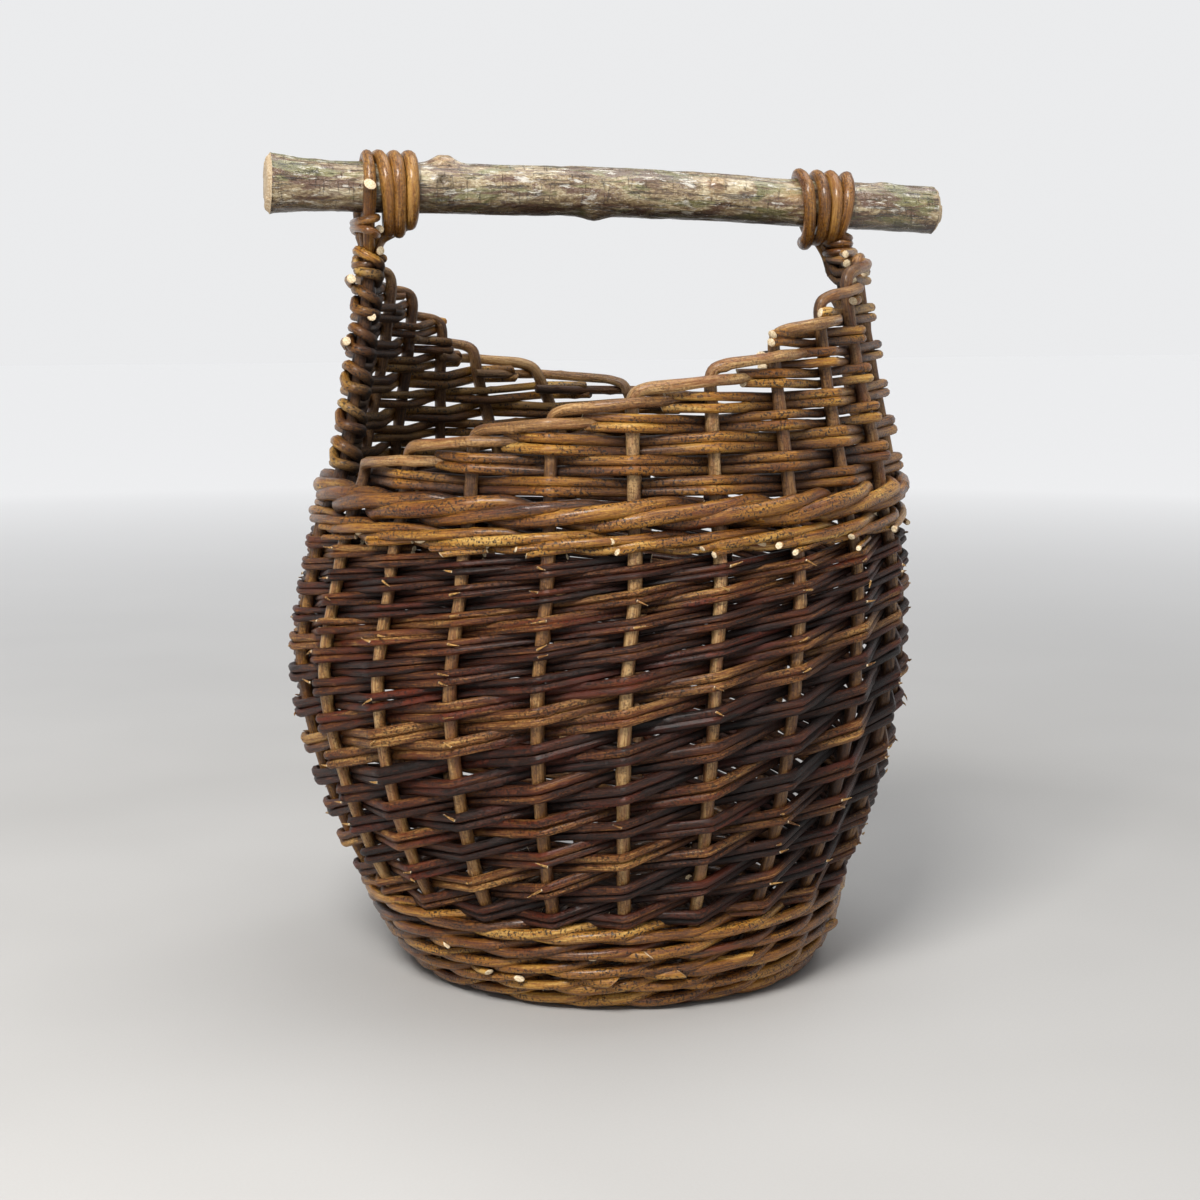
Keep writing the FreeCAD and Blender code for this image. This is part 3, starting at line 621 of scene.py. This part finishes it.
# ---------------------------------------------------------------- wales
def wale(name, arc, d, rows, radius, seam, look, slot, nodes, bark, join_every=17, swing=0.7,
         uneven=0.06):
    """Rows of three rods, each in front of two stakes and behind one, rising to the right.

    arc is the first row's place along the wall's outline, and d the spacing of the rods.
    """
    pitch = 2.12 * d
    total = rows * UPRIGHTS
    row_pieces = [Piece(f"{name}_row_{row + 1}") for row in range(rows)]
    for strand in range(3):
        breaks = []
        at = rng.integers(join_every - 3, join_every + 4)
        while at < total - 6:
            # a join is where this strand goes behind a stake
            at += (-(at + strand)) % 3
            breaks.append(at)
            at += rng.integers(join_every - 2, join_every + 6)
        limits = [0] + breaks + [total + 2]
        for first, last in zip(limits, limits[1:]):
            keys = []
            fat = radius * rng.uniform(0.93, 1.07)
            for u in np.arange(first, last + 0.01, 0.5):
                p = (u + strand) % 3
                row = u // UPRIGHTS
                inside = u % UPRIGHTS
                climb = np.clip(inside - (UPRIGHTS - 3), 0, 3) / 3 if row < rows - 1 else 0
                level = arc + pitch * (row + climb)
                front = 0.5 <= p <= 2.5
                if front:
                    wave = swing * d * (p - 1.5)
                else:
                    wave = swing * d * (1 - 2 * ((p + 0.5) % 3))
                wave += rng.normal(0, uneven) * d
                # behind a stake, in the gaps beside it, then in front of two stakes
                if p == 0:
                    off = -(STAKE_R + fat)
                elif p in (0.5, 2.5):
                    off = 0.6
                elif p == 1.5:
                    off = STAKE_R + fat + 0.4
                else:
                    off = STAKE_R + fat * (0.92 if p == 1 else 1.08)
                taper = fat * (1.08 - 0.2 * (u - first) / (last - first))
                keys.append((u, level + wave, off, taper))
            numbers, arcs, offs, radii = (np.array(v, float) for v in zip(*keys))
            if last != limits[-1]:
                # the old rod stops in front of the next stake, cut on the slant
                numbers = np.append(numbers, numbers[-1] + 0.45)
                arcs = np.append(arcs, arcs[-1] - 0.3 * d)
                offs = np.append(offs, STAKE_R + 1.0)
                radii = np.append(radii, radii[-1])
            points = on_wall(numbers + seam, height_at(arcs), offs)
            points[:, 2] = np.maximum(points[:, 2], radii * 1.1)
            owner = row_pieces[int(min(((first + last) / 2) // UPRIGHTS, rows - 1))]
            owner.rod(points, radii, (look[0] + rng.normal(0, 0.09), rng.uniform(*look[1])),
                      5.5, 3.0, 11, tilt=(0.3, 1.3))
    for row, piece in enumerate(row_pieces):
        if piece.count:
            piece.finish(bark, cut, slot, [nodes[min(row, len(nodes) - 1)]])


wale("lower_wale", 5.0, 5.7, 6, 3.4, 14.0, (0.48, (0.0, 0.8)), "golden_wale_willow",
     ["foot_wale"] * 2 + ["upset_wale"] * 4, gold, 9, 0.66, 0.12)
wale("top_wale_thin", float(arc_at(290.0)), 5.6, 1, 3.2, 15.0, (0.55, (0.1, 0.7)),
     "golden_wale_willow", ["top_wale_thin"], gold, 9, 0.8)
wale("top_wale_thick", float(arc_at(305.5)), 8.6, 1, 4.7, 15.0, (0.55, (0.1, 0.6)),
     "golden_wale_willow", ["top_wale_thick"], gold, 12, 0.72)

# the thin ends of the siding pairs and of the thin wale are trimmed just left of the stakes
SIDING_TOP = 284.5
piece = Piece("wale_butts")
for n in range(UPRIGHTS):
    if n % HALF == 0:
        continue
    for member in (-1, 1):
        radius = rng.uniform(1.5, 2.2)
        z = SIDING_TOP + 2.0 * member + rng.normal(0, 1.4)
        reach = rng.uniform(0.25, 0.42) if member > 0 else rng.uniform(0.12, 0.3)
        numbers = n + np.array([0.3, 0.0, -0.12, -reach])
        heights = z + np.array([3.5, 1.2, 0.4, -0.6])
        offs = np.array([2.0, STAKE_R + 1.6, STAKE_R + 3.2, STAKE_R + 5.2])
        piece.rod(on_wall(numbers, heights, offs), radius, (0.6, 0.3), 2.0, 1.8, 8, False,
                  (0.3, 0.6))
piece.finish(gold, cut, "golden_wale_willow", ["top_wale_thin"])

# butts of the lower wale that were trimmed on the slant: stake, height, thickness
piece = Piece("lower_wale_butts")
for n, z, radius in ((4.74, 27, 3.6), (5.76, 31, 3.4), (6.85, 35, 3.2), (2.2, 40, 2.0),
                     (2.8, 27, 2.0), (3.3, 26, 2.0), (5.3, 44, 2.4), (9.1, 33, 3.2),
                     (12.4, 30, 3.2), (14.6, 38, 3.0), (16.2, 26, 3.4), (18.9, 33, 3.2)):
    numbers = n + np.array([-0.5, -0.25, 0.0])
    piece.rod(on_wall(numbers, z + np.array([-3.5, -1.0, 0.5]), np.array([3.0, 8.0, 10.2])),
              radius, (0.6, 0.2), 2.0, 1.8, 10, False, (0.2, 1.2))
piece.finish(gold, cut, "golden_wale_willow", ["upset_wale"])

# ---------------------------------------------------------------- panels
PANEL_FOOT = 315.0
COURSE = 11.7
# number of the stake at which each course starts, counted from the low end
STARTS = (1, 3, 4, 5, 6, 7, 7, 7, 8, 9, 10, 10)


def round_post(number, z0, z1, radius):
    """From behind a post, round its far side, to in front of it."""
    points = []
    r = stake_circle(z0)
    for turn in np.linspace(0, 1, 7):
        angle = math.pi * turn
        out = math.degrees((POST_HALF + 0.3 + (STAKE_R + radius) * math.sin(angle)) / r)
        off = -(STAKE_R + radius - 0.2) * math.cos(angle)
        points.append((number + out / PITCH, z0 + (z1 - z0) * turn, off, radius * 1.1))
    return points


def panel_end(key, start):
    """Low down a rod's end is tucked under the rim; in the ear it shows beside its stake."""
    n, z, off, radius = key
    if off > 0 and start > 1 and z + 3 < RIM[start - 2]:
        return (n - rng.uniform(0.5, 0.62), z + 1.5, -0.5, radius * 0.9)
    return (n - rng.uniform(0.1, 0.16), z - rng.uniform(0, 1), off * 0.8, radius * 0.95)


def add_panel(side, base):
    """Pairs of rods that run out along one course, round the post and back along the next."""
    number = base + HALF
    edge = math.degrees((POST_HALF + 1) / 165) / PITCH
    for pair in range(len(STARTS) // 2):
        piece = Piece(f"panel_{side}_courses_{pair + 1}")
        low, high = 2 * pair, 2 * pair + 1
        low_z, high_z = (PANEL_FOOT + COURSE * (course + 0.5) for course in (low, high))
        for member in (-1, 1):
            radius = rng.uniform(3.0, 3.25) - 0.07 * pair
            keys = []
            for k in range(STARTS[low], HALF):
                sign = 1 if (k + low) % 2 == 0 else -1
                keys.append((base + k, low_z + member * 2.9 + rng.normal(0, 0.4),
                             sign * (STAKE_R + radius - 0.1), radius))
            keys.insert(0, panel_end(keys[0], STARTS[low]))
            loop = (low_z + 1, low_z + 3) if member < 0 else (high_z - 4, high_z + 4)
            keys.append((number - edge, low_z + member * 2.9, -(STAKE_R + radius), radius))
            keys += round_post(number, *loop, radius)
            keys.append((number - edge, high_z + member * 2.9, STAKE_R + radius, radius))
            for k in range(HALF - 1, STARTS[high] - 1, -1):
                sign = 1 if (k + high) % 2 == 0 else -1
                keys.append((base + k, high_z + member * 2.9 + rng.normal(0, 0.4),
                             sign * (STAKE_R + radius - 0.1), radius * 0.95))
            keys.append(panel_end(keys[-1], STARTS[high]))
            piece.course(keys, (0.68 + rng.normal(0, 0.12), rng.uniform(0, 0.55)), 1.8, 2.2, 9,
                         tilt=(0.5, 0.5))
        # the back panel's cut ends take the bark and its painted shade in place of pale cut wood,
        # so they stay dark inside the basket
        ends = cut if side == "front" else panel_bark
        piece.finish(panel_bark, ends, "panel_willow", [f"panel_{side}_weave"])


add_panel("front", 0)
add_panel("back", HALF)

# the butts of the last panel rods stand out beside the left post
piece = Piece("post_stubs")
for z, side in ((467.0, 6.0), (453.8, 6.0), (414.0, 3.0), (437.0, -11.5), (399.0, -10.5)):
    spot = on_wall(0, z, 0.0)
    points = [spot + (side * 0.7, 14, -4), spot + (side, 0, -1),
              spot + (side, -13.5 + rng.normal(0, 1), 0)]
    piece.rod(points, 2.8, (0.6, 0.3), 2.0, 2.0, 10, False, (0.2, 0.4))
piece.finish(panel_bark, cut, "panel_willow", ["panel_front_weave"])

# ---------------------------------------------------------------- handle
HANDLE_Z = 488.2
TILT = math.radians(1.9)
HANDLE_UP = np.array([math.sin(TILT), 0, math.cos(TILT)])
HANDLE_ALONG = np.array([math.cos(TILT), 0, -math.sin(TILT)])
HANDLE_SHIFT = 4.8 * RIGHT
# place along the branch, and angle from its top towards the front
LEFT_KNOT, RIGHT_KNOT, END_KNOT = (-110, 0.2), (63, 0.95), (112, 1.2)


def value_noise(p, seed):
    """Smooth noise in -1..1 at the points p."""
    cell = np.floor(p).astype(np.int64)
    f = p - cell
    f = f * f * (3 - 2 * f)
    total = np.zeros(p.shape[:-1])
    for dx in (0, 1):
        for dy in (0, 1):
            for dz in (0, 1):
                c = cell + (dx, dy, dz)
                h = (c[..., 0] * 73856093) ^ (c[..., 1] * 19349663) ^ (c[..., 2] * 83492791)
                h = (h + seed * 2654435761) & 0xFFFFFF
                h = (h * 1103515245 + 12345) & 0x7FFFFFFF
                w = ((f[..., 0] if dx else 1 - f[..., 0]) * (f[..., 1] if dy else 1 - f[..., 1])
                     * (f[..., 2] if dz else 1 - f[..., 2]))
                total += w * ((h / 0x7FFFFFFF) * 2 - 1)
    return total


def handle_axis(x):
    """The middle of the branch, which is bowed up a little and slopes down to the right."""
    x = np.asarray(x, float)
    bow = 3.0 * np.exp(-(x / 120) ** 2) - 1.0
    middle = x[..., None] * HANDLE_ALONG + bow[..., None] * HANDLE_UP
    return middle + (0, 0, HANDLE_Z) + HANDLE_SHIFT


def handle_radius(x):
    """Thicker to the left, flared where it was cut."""
    return np.interp(x, [-221, -212, -196, -180, -100, 0, 100, 190, 206, 214],
                     [18.2, 17.6, 16.1, 15.3, 15.4, 15.2, 14.7, 14.7, 14.9, 14.0])


def turned(angle, zero):
    """The angle from zero, within half a turn either way."""
    return np.angle(np.exp(1j * (angle - zero)))


def branch():
    """A piece of a branch with its bark, cut at both ends with a knife."""
    around = 120          # points round the branch
    x = np.arange(-216.0, 211.3, 1.25)
    phi = np.arange(around) * 2 * math.pi / around
    gx, gp = np.meshgrid(x, phi, indexing="ij")
    radius = handle_radius(gx)
    unit = np.stack([gx / 16, 3 * np.cos(gp), 3 * np.sin(gp)], -1)
    radius = radius + 0.6 * value_noise(unit * (0.45, 0.6, 0.6), 1)
    radius += 0.35 * value_noise(unit * (1.3, 1.1, 1.1), 2)
    radius += 0.22 * value_noise(unit * (2.2, 4.2, 4.2), 3)
    radius += 0.12 * value_noise(unit * (9, 6, 6), 4)
    # a fold of bark stands up where the branch was cut
    rim = np.exp(-np.minimum(gx - x[0], x[-1] - gx) / 2.2)
    radius += rim * (0.5 + 0.7 * value_noise(unit * (0, 2.2, 2.2), 5))
    # place along, angle from the top towards the front, width, height, hollow in the middle
    for kx, kp, width, height, hollow in (
            (-110, 0.1, 11.5, 6.0, 0.25), (-112, 1.3, 9.0, 2.0, 1.9), (63, 0.9, 6.5, 3.2, 0.9),
            (-14, 2.9, 12, 3.0, 0.0), (176, 0.3, 9, 1.6, 0.5), (-190, 0.9, 7, 1.4, 0.3),
            (120, 2.4, 8, 1.5, 0.2), (-60, 4.1, 10, 2.2, 0.4), (30, 5.0, 8, 1.8, 0.3)):
        dist = np.sqrt((gx - kx) ** 2 + (turned(gp, kp) * 16) ** 2) / width
        radius += height * np.exp(-(dist * 1.5) ** 2) - height * hollow * np.exp(-(dist * 4) ** 2)
    front = np.array([0, -1, 0])
    points = (handle_axis(gx) + (radius * np.cos(gp))[..., None] * HANDLE_UP
              + (radius * np.sin(gp))[..., None] * front)
    fibre = np.stack([gx, radius * np.cos(gp), radius * np.sin(gp)], -1) * MM
    rows, pale_points, pale_fibre = len(x), [], []
    piece = Piece("handle_branch_bark")
    caps = []
    # each end is whittled to a low dome of flat facets
    base = rows * around
    for end, sign in ((0, -1), (rows - 1, 1)):
        ring = points[end]
        middle = ring.mean(0)
        first = end * around
        previous = first + np.arange(around)
        facet = 0.5 + 0.5 * np.cos(np.round(phi * 7 / (2 * math.pi)) * 2.4 + sign)
        for share, along in ((0.95, 0.5), (0.86, 1.8), (0.78, 2.4), (0.45, 2.9), (0.08, 3.0)):
            step = along + (0.9 * facet * (share > 0.7) if share < 0.95 else 0)
            new = middle + (ring - middle) * share
            new = new + np.outer(np.ones(around) * step, sign * HANDLE_ALONG)
            pale_points.append(new)
            pale_fibre.append(np.stack([np.full(around, x[end] + sign * along),
                                        radius[end] * np.cos(phi) * share,
                                        radius[end] * np.sin(phi) * share], -1) * MM)
            now = base + np.arange(around)
            for k in range(around):
                m = (k + 1) % around
                quad = [previous[k], previous[m], now[m], now[k]]
                caps.append(quad if sign > 0 else quad[::-1])
            previous = now
            base += around
        face = list(previous)
        caps.append(face if sign > 0 else face[::-1])
    surface = np.concatenate([points.reshape(-1, 3)] + pale_points)
    tint = np.ones(surface.shape)
    tint[:, 0] = 0.5
    # painted light and shade: 1 lit above, towards 0 in painted shade below, in the left knot's
    # hollow and in a ring round the right knot
    hollow = np.exp(-((gx + 113) / 7) ** 2 - (turned(gp, 1.25) / 0.4) ** 2)
    away = np.sqrt((gx - RIGHT_KNOT[0]) ** 2 + (turned(gp, RIGHT_KNOT[1]) * 15) ** 2) / 5.5
    hollow = hollow * 0.95 + 0.75 * np.exp(-((away - 1) / 0.22) ** 2)
    tint[:gx.size, 0] = ((0.5 + 0.5 * np.cos(gp - 0.35)) * (1 - hollow)).ravel()
    # 1 at the knots
    tint[:gx.size, 1] = sum(np.exp(-((gx - kx) / 7) ** 2 - (turned(gp, kp) / 0.45) ** 2)
                            for kx, kp in (LEFT_KNOT, RIGHT_KNOT, END_KNOT)).ravel()
    piece.add(surface, np.concatenate([fibre.reshape(-1, 3)] + pale_fibre), tint,
              tube_faces(rows, around), caps)
    return piece


def branch_bark():
    """Grey, green and brown bark with cracks along it and silvery scales, with painted shade
    below and in the knots' hollows.
    """
    n = Nodes("branch_bark")
    fibre = n.attribute("fibre")
    painted_top_light, near_knot, _ = n.split(n.attribute("tint"))
    big = n.noise(fibre, (18, 70, 70), 4, 0.6, 0.6)
    mid = n.noise(fibre, (70, 230, 230), 5, 0.7, 0.8)
    fine = n.noise(fibre, (420, 800, 800), 4, 0.65)
    rings = n.noise(fibre, (520, 60, 60), 4, 0.65)
    wide = n.noise(fibre, (30, 70, 70), 3, 0.6, 0.4)
    tone = n.math("ADD", n.math("MULTIPLY", mid, 0.42), n.math("MULTIPLY", fine, 0.28))
    tone = n.math("ADD", tone, n.math("MULTIPLY", wide, 0.3))
    colour = n.ramp(tone, ((0.38, srgb(52, 36, 22)), (0.45, srgb(108, 84, 56)),
                           (0.51, srgb(152, 132, 96)), (0.6, srgb(206, 194, 164))))
    green = n.math("MULTIPLY", n.band(big, 0.51, 0.56), 0.62)
    colour = n.mix(green, colour, srgb(98, 104, 54))
    brown = n.band(n.noise(fibre, (30, 120, 120), 5, 0.65, 0.6), 0.5, 0.57)
    colour = n.mix(n.math("MULTIPLY", brown, 0.8), colour, srgb(82, 46, 28))
    crack = n.band(n.noise(fibre, (34, 560, 560), 4, 0.7), 0.58, 0.63)
    across = n.band(n.noise(fibre, (700, 90, 90), 3, 0.6), 0.62, 0.67)
    line = n.math("MAXIMUM", crack, n.math("MULTIPLY", across, 0.7))
    colour = n.mix(n.math("MULTIPLY", line, 0.75), colour, srgb(38, 26, 18))
    silver = n.band(n.noise(fibre, (80, 260, 260), 5, 0.7), 0.57, 0.64)
    colour = n.mix(n.math("MULTIPLY", silver, 0.75), colour, srgb(214, 210, 198))
    scar = n.math("MULTIPLY", near_knot, n.band(mid, 0.3, 0.6), True)
    colour = n.mix(n.math("MULTIPLY", scar, 0.85), colour, srgb(184, 146, 98))
    # painted shade: the bark's colour is darkened below and in the knot hollows, full on top
    under = n.ramp(painted_top_light, ((0.05, (0.24, 0.19, 0.14, 1)), (0.45, (0.85, 0.82, 0.78, 1)),
                           (0.7, (1, 1, 1, 1))))
    colour = n.mix(1.0, colour, under, "MULTIPLY")
    rough = n.band(mid, 0.4, 0.6, 0.5, 0.14)
    normal = n.bump(mid, 0.0016, 0.8)
    height = n.math("ADD", fine, n.math("MULTIPLY", rings, 0.5))
    normal = n.bump(n.math("SUBTRACT", height, line), 0.0008, 0.9, normal)
    n.shader.inputs["Coat Weight"].default_value = 0.6
    n.shader.inputs["Coat Roughness"].default_value = 0.16
    return n.output(colour, rough, normal, 0.7)


branch().finish(branch_bark(), cut, "branch_bark", ["handle_branch"])


# ---------------------------------------------------------------- lashings
def lashing(side, turns, start, end):
    """Turns of one rod round the handle; both ends go down into the ear.

    A turn is its place along the handle at the top and below it, and how far it hangs clear.
    """
    piece = Piece(f"lashing_rod_{side}")
    radius = 4.0
    points = []
    for index, (top, bottom, hang) in enumerate(turns):
        after = turns[min(index + 1, len(turns) - 1)][0]
        last = index == len(turns) - 1
        for k in range(12 if last else 20):
            phi = 2 * math.pi * k / 20
            if phi <= math.pi:
                x = top + (bottom - top) * phi / math.pi
            else:
                x = bottom + (after - bottom) * (phi / math.pi - 1)
            bore = handle_radius(x) + radius - 0.2
            down = bore + hang * max(0.0, -math.cos(phi)) ** 0.8
            points.append(handle_axis(x)
                          + (0, -bore * math.sin(phi), (bore if phi < 1.5 else down)
                             * math.cos(phi)))
    moved = drift_at(470.0, side)
    points = [np.array(p) + moved for p in start] + points + [np.array(p) + moved for p in end]
    piece.rod(points, radius, (0.55, 0.35), 3.0, 2.0, 12)
    # bands that hold the rods of the post together under the handle
    x, spread, _ = POST_TOP[side]
    for z, slope, wide in BANDS[side]:
        ring = []
        for k in range(15):
            turn = 2 * math.pi * k / 12 + 0.6
            half = (POST_HALF + STAKE_R if side == "left" and z < 455 else spread + STAKE_R) + 2.2
            if side == "left" and z > 470:
                half = 24.5
            ring.append(np.array([x + wide * math.cos(turn), half * math.sin(turn),
                                  z + slope * math.cos(turn) + 0.9 * (k - 7) / 7]) + moved)
        piece.rod(ring, 2.7, (0.5 + rng.normal(0, 0.08), 0.4), 2.2, 2.0, 10)
    piece.finish(lash_bark, cut, "lashing_willow", [f"lashing_{side}"])


# of each band: height, slope, half its width along the handle
BANDS = {"left": ((445.6, 0.8, 6.2), (465.6, -2.5, 6.4), (472.4, 1.2, 6.4)),
         "right": ((453.5, 0.6, 7.4), (458.6, -0.4, 7.0), (463.6, -2.2, 6.6))}
lashing("left", ((-157, -157, 3), (-150, -143, 8), (-140.5, -137.5, 9), (-131, -130.5, 4)),
        [(-152, 10, 420), (-154, 19, 452), (-158, 20, 478)],
        [(-146, 12, 462), (-152, 6, 446), (-156, 4, 430)])
lashing("right", ((151, 143.5, 2), (140.6, 139.6, 4), (131.4, 132.8, 4), (119.5, 124.5, 7.5)),
        [(152, 6, 440), (153, 16, 456), (152, 19, 474)],
        [(142, 7, 463), (149, 6, 452), (153, 5, 438)])

# ---------------------------------------------------------------- base
def base_bend(azimuth):
    """Where a stick leaves its bundle of three and fans out; the middle one runs straight."""
    lane = round((azimuth % 90) / 30.0)
    if lane == 0:
        return np.zeros(3)
    side = 1 if lane == 1 else -1
    group = math.radians(azimuth - side * 30.0)
    along = np.array([math.cos(group), math.sin(group), 0])
    across = np.array([-math.sin(group), math.cos(group), 0])
    return along * 30 + across * 11 * side


moved = drift(np.array(BASE_Z), np.array(0.0)) + (0, 0, BASE_Z)
for number, (half_turn, lane) in enumerate(((0.0, -1), (0.0, 0), (180.0, -1)), start=1):
    for kind, azimuth in (("split", half_turn), ("through", half_turn + 90.0)):
        ends = []
        for end in (azimuth + 180 - lane * 30.0, azimuth + lane * 30.0):
            bend = base_bend(end)
            out = np.array([math.cos(math.radians(end)), math.sin(math.radians(end)), 0])
            ends.append([bend + out * (114 - np.linalg.norm(bend)), bend])
        points = ends[0] + ends[1][::-1]
        lift = -1.4 if kind == "split" else 1.4
        middle = np.array([np.array(p) + moved for p in points])
        middle[1:3, 2] += lift
        piece = Piece(f"base_rod_{kind}_{number}")
        piece.rod(middle, STICK_R, (0.5, 0.3), 4.0, 3.0, 12)
        piece.finish(base_bark, cut, "base_stick_willow", [f"base_stick_{kind}_{number}"])

piece = Piece("base_pairing")
for row, r in enumerate(np.arange(27.0, 119.0, 5.4)):
    radius = 2.5
    for strand in (0, 1):
        keys = []
        for k in range(25):
            azimuth = math.radians(15.0 * k)
            wide = r + (2.0 if r < 45 and k % 2 else 0)
            over = k % 2 == 0
            sign = 1 if (k // 2 + strand + row) % 2 == 0 else -1
            lift = sign * (STICK_R + radius - 0.6) if over else 0.0
            spot = np.array([wide * math.cos(azimuth), wide * math.sin(azimuth), lift])
            keys.append(spot + moved)
        piece.rod(keys, radius, (0.45 + rng.normal(0, 0.1), rng.uniform(0, 0.5)), 3.0, 3.2, 7)
piece.finish(base_bark, cut, "base_weave_willow", ["base_weave"])


# ---------------------------------------------------------------- floor, light, camera
BACKDROP = (0.83, 0.835, 0.845, 1)
FLOOR_HALF = 9.0          # metres


def floor_material():
    """Plain pale floor, dimmer on the side away from the window."""
    n = Nodes("studio_floor")
    place = n.new("ShaderNodeTexCoord").outputs["Object"]
    soft = n.noise(place, (3, 3, 3), 2)
    fine = n.noise(place, (600, 600, 600), 2)
    far = n.length(place)
    colour = n.ramp(soft, ((0.3, (0.47, 0.462, 0.45, 1)), (0.7, (0.51, 0.502, 0.49, 1))))
    to_right = n.split(place)[0]
    # painted shade: the floor's own colour darkens towards the right, away from the window
    dim = n.math("MULTIPLY", n.band(to_right, -0.5, 0.9), 0.4)
    colour = n.mix(dim, colour, (0.22, 0.216, 0.21, 1))
    # far off the floor's colour darkens, under the painted glow set below
    away = n.band(far, 0.7, 3.0)
    colour = n.mix(away, colour, (0.14, 0.14, 0.14, 1))
    rough = n.band(fine, -1.5, 1.6)
    # painted glow: far off the floor glows, though it is no lamp, and fades into the backdrop
    n.shader.inputs["Emission Color"].default_value = BACKDROP
    n.link(n.math("MULTIPLY", n.band(far, 0.6, 3.2), 0.87), n.shader.inputs["Emission Strength"])
    return n.output(colour, rough, n.bump(fine, 0.0002, 0.3))


mesh = bpy.data.meshes.new("studio_floor")
corners = [(x * FLOOR_HALF, y * FLOOR_HALF, 0) for x, y in ((-1, -1), (1, -1), (1, 1), (-1, 1))]
mesh.from_pydata(corners, [], [(0, 1, 2, 3)])
floor = bpy.data.objects.new("studio_floor", mesh)
mesh.materials.append(floor_material())
bpy.context.scene.collection.objects.link(floor)

world = bpy.data.worlds.new("studio")
bpy.context.scene.world = world
world.use_nodes = True
background = world.node_tree.nodes["Background"]
direction = world.node_tree.nodes.new("ShaderNodeTexCoord")
split = world.node_tree.nodes.new("ShaderNodeSeparateXYZ")
sky = world.node_tree.nodes.new("ShaderNodeValToRGB")
stops = ((0.14, BACKDROP), (0.4, (0.36, 0.365, 0.375, 1)))
for element, (at, colour) in zip(sky.color_ramp.elements, stops):
    element.position = at
    element.color = colour
world.node_tree.links.new(direction.outputs["Generated"], split.inputs[0])
world.node_tree.links.new(split.outputs[2], sky.inputs[0])
world.node_tree.links.new(sky.outputs["Color"], background.inputs["Color"])
background.inputs["Strength"].default_value = 1.0


def area_light(name, place, target, size, power, colour=(1, 1, 1)):
    """A square lamp that faces its target."""
    data = bpy.data.lights.new(name, "AREA")
    data.shape = "RECTANGLE"
    data.size = data.size_y = size
    data.energy = power
    data.color = colour
    light = bpy.data.objects.new(name, data)
    light.location = place
    light.rotation_euler = (Vector(target) - Vector(place)).to_track_quat("-Z", "Y").to_euler()
    bpy.context.scene.collection.objects.link(light)


area_light("window", (-1.0, -1.7, 2.1), (0, 0, 0.25), 0.9, 88, (1.0, 0.98, 0.95))
area_light("overhead", (0.6, 0.1, 2.4), (0, 0, 0.2), 1.6, 26)

CAMERA_BACK = 1475.0      # from the basket's middle, in mm
CAMERA_HEIGHT = 447.0
CAMERA_DOWN = math.radians(8.32)

data = bpy.data.cameras.new("camera")
data.lens = 69.33
data.sensor_width = 36.0
data.clip_start = 0.05
data.clip_end = 60.0
camera = bpy.data.objects.new("camera", data)
look = AWAY * math.cos(CAMERA_DOWN) + np.array([0, 0, -math.sin(CAMERA_DOWN)])
camera.location = (-CAMERA_BACK * AWAY - 5 * RIGHT + np.array([0, 0, CAMERA_HEIGHT])) * MM
camera.rotation_euler = Vector(look).to_track_quat("-Z", "Y").to_euler()
bpy.context.scene.collection.objects.link(camera)
bpy.context.scene.camera = camera
bpy.context.scene.view_settings.view_transform = "Standard"
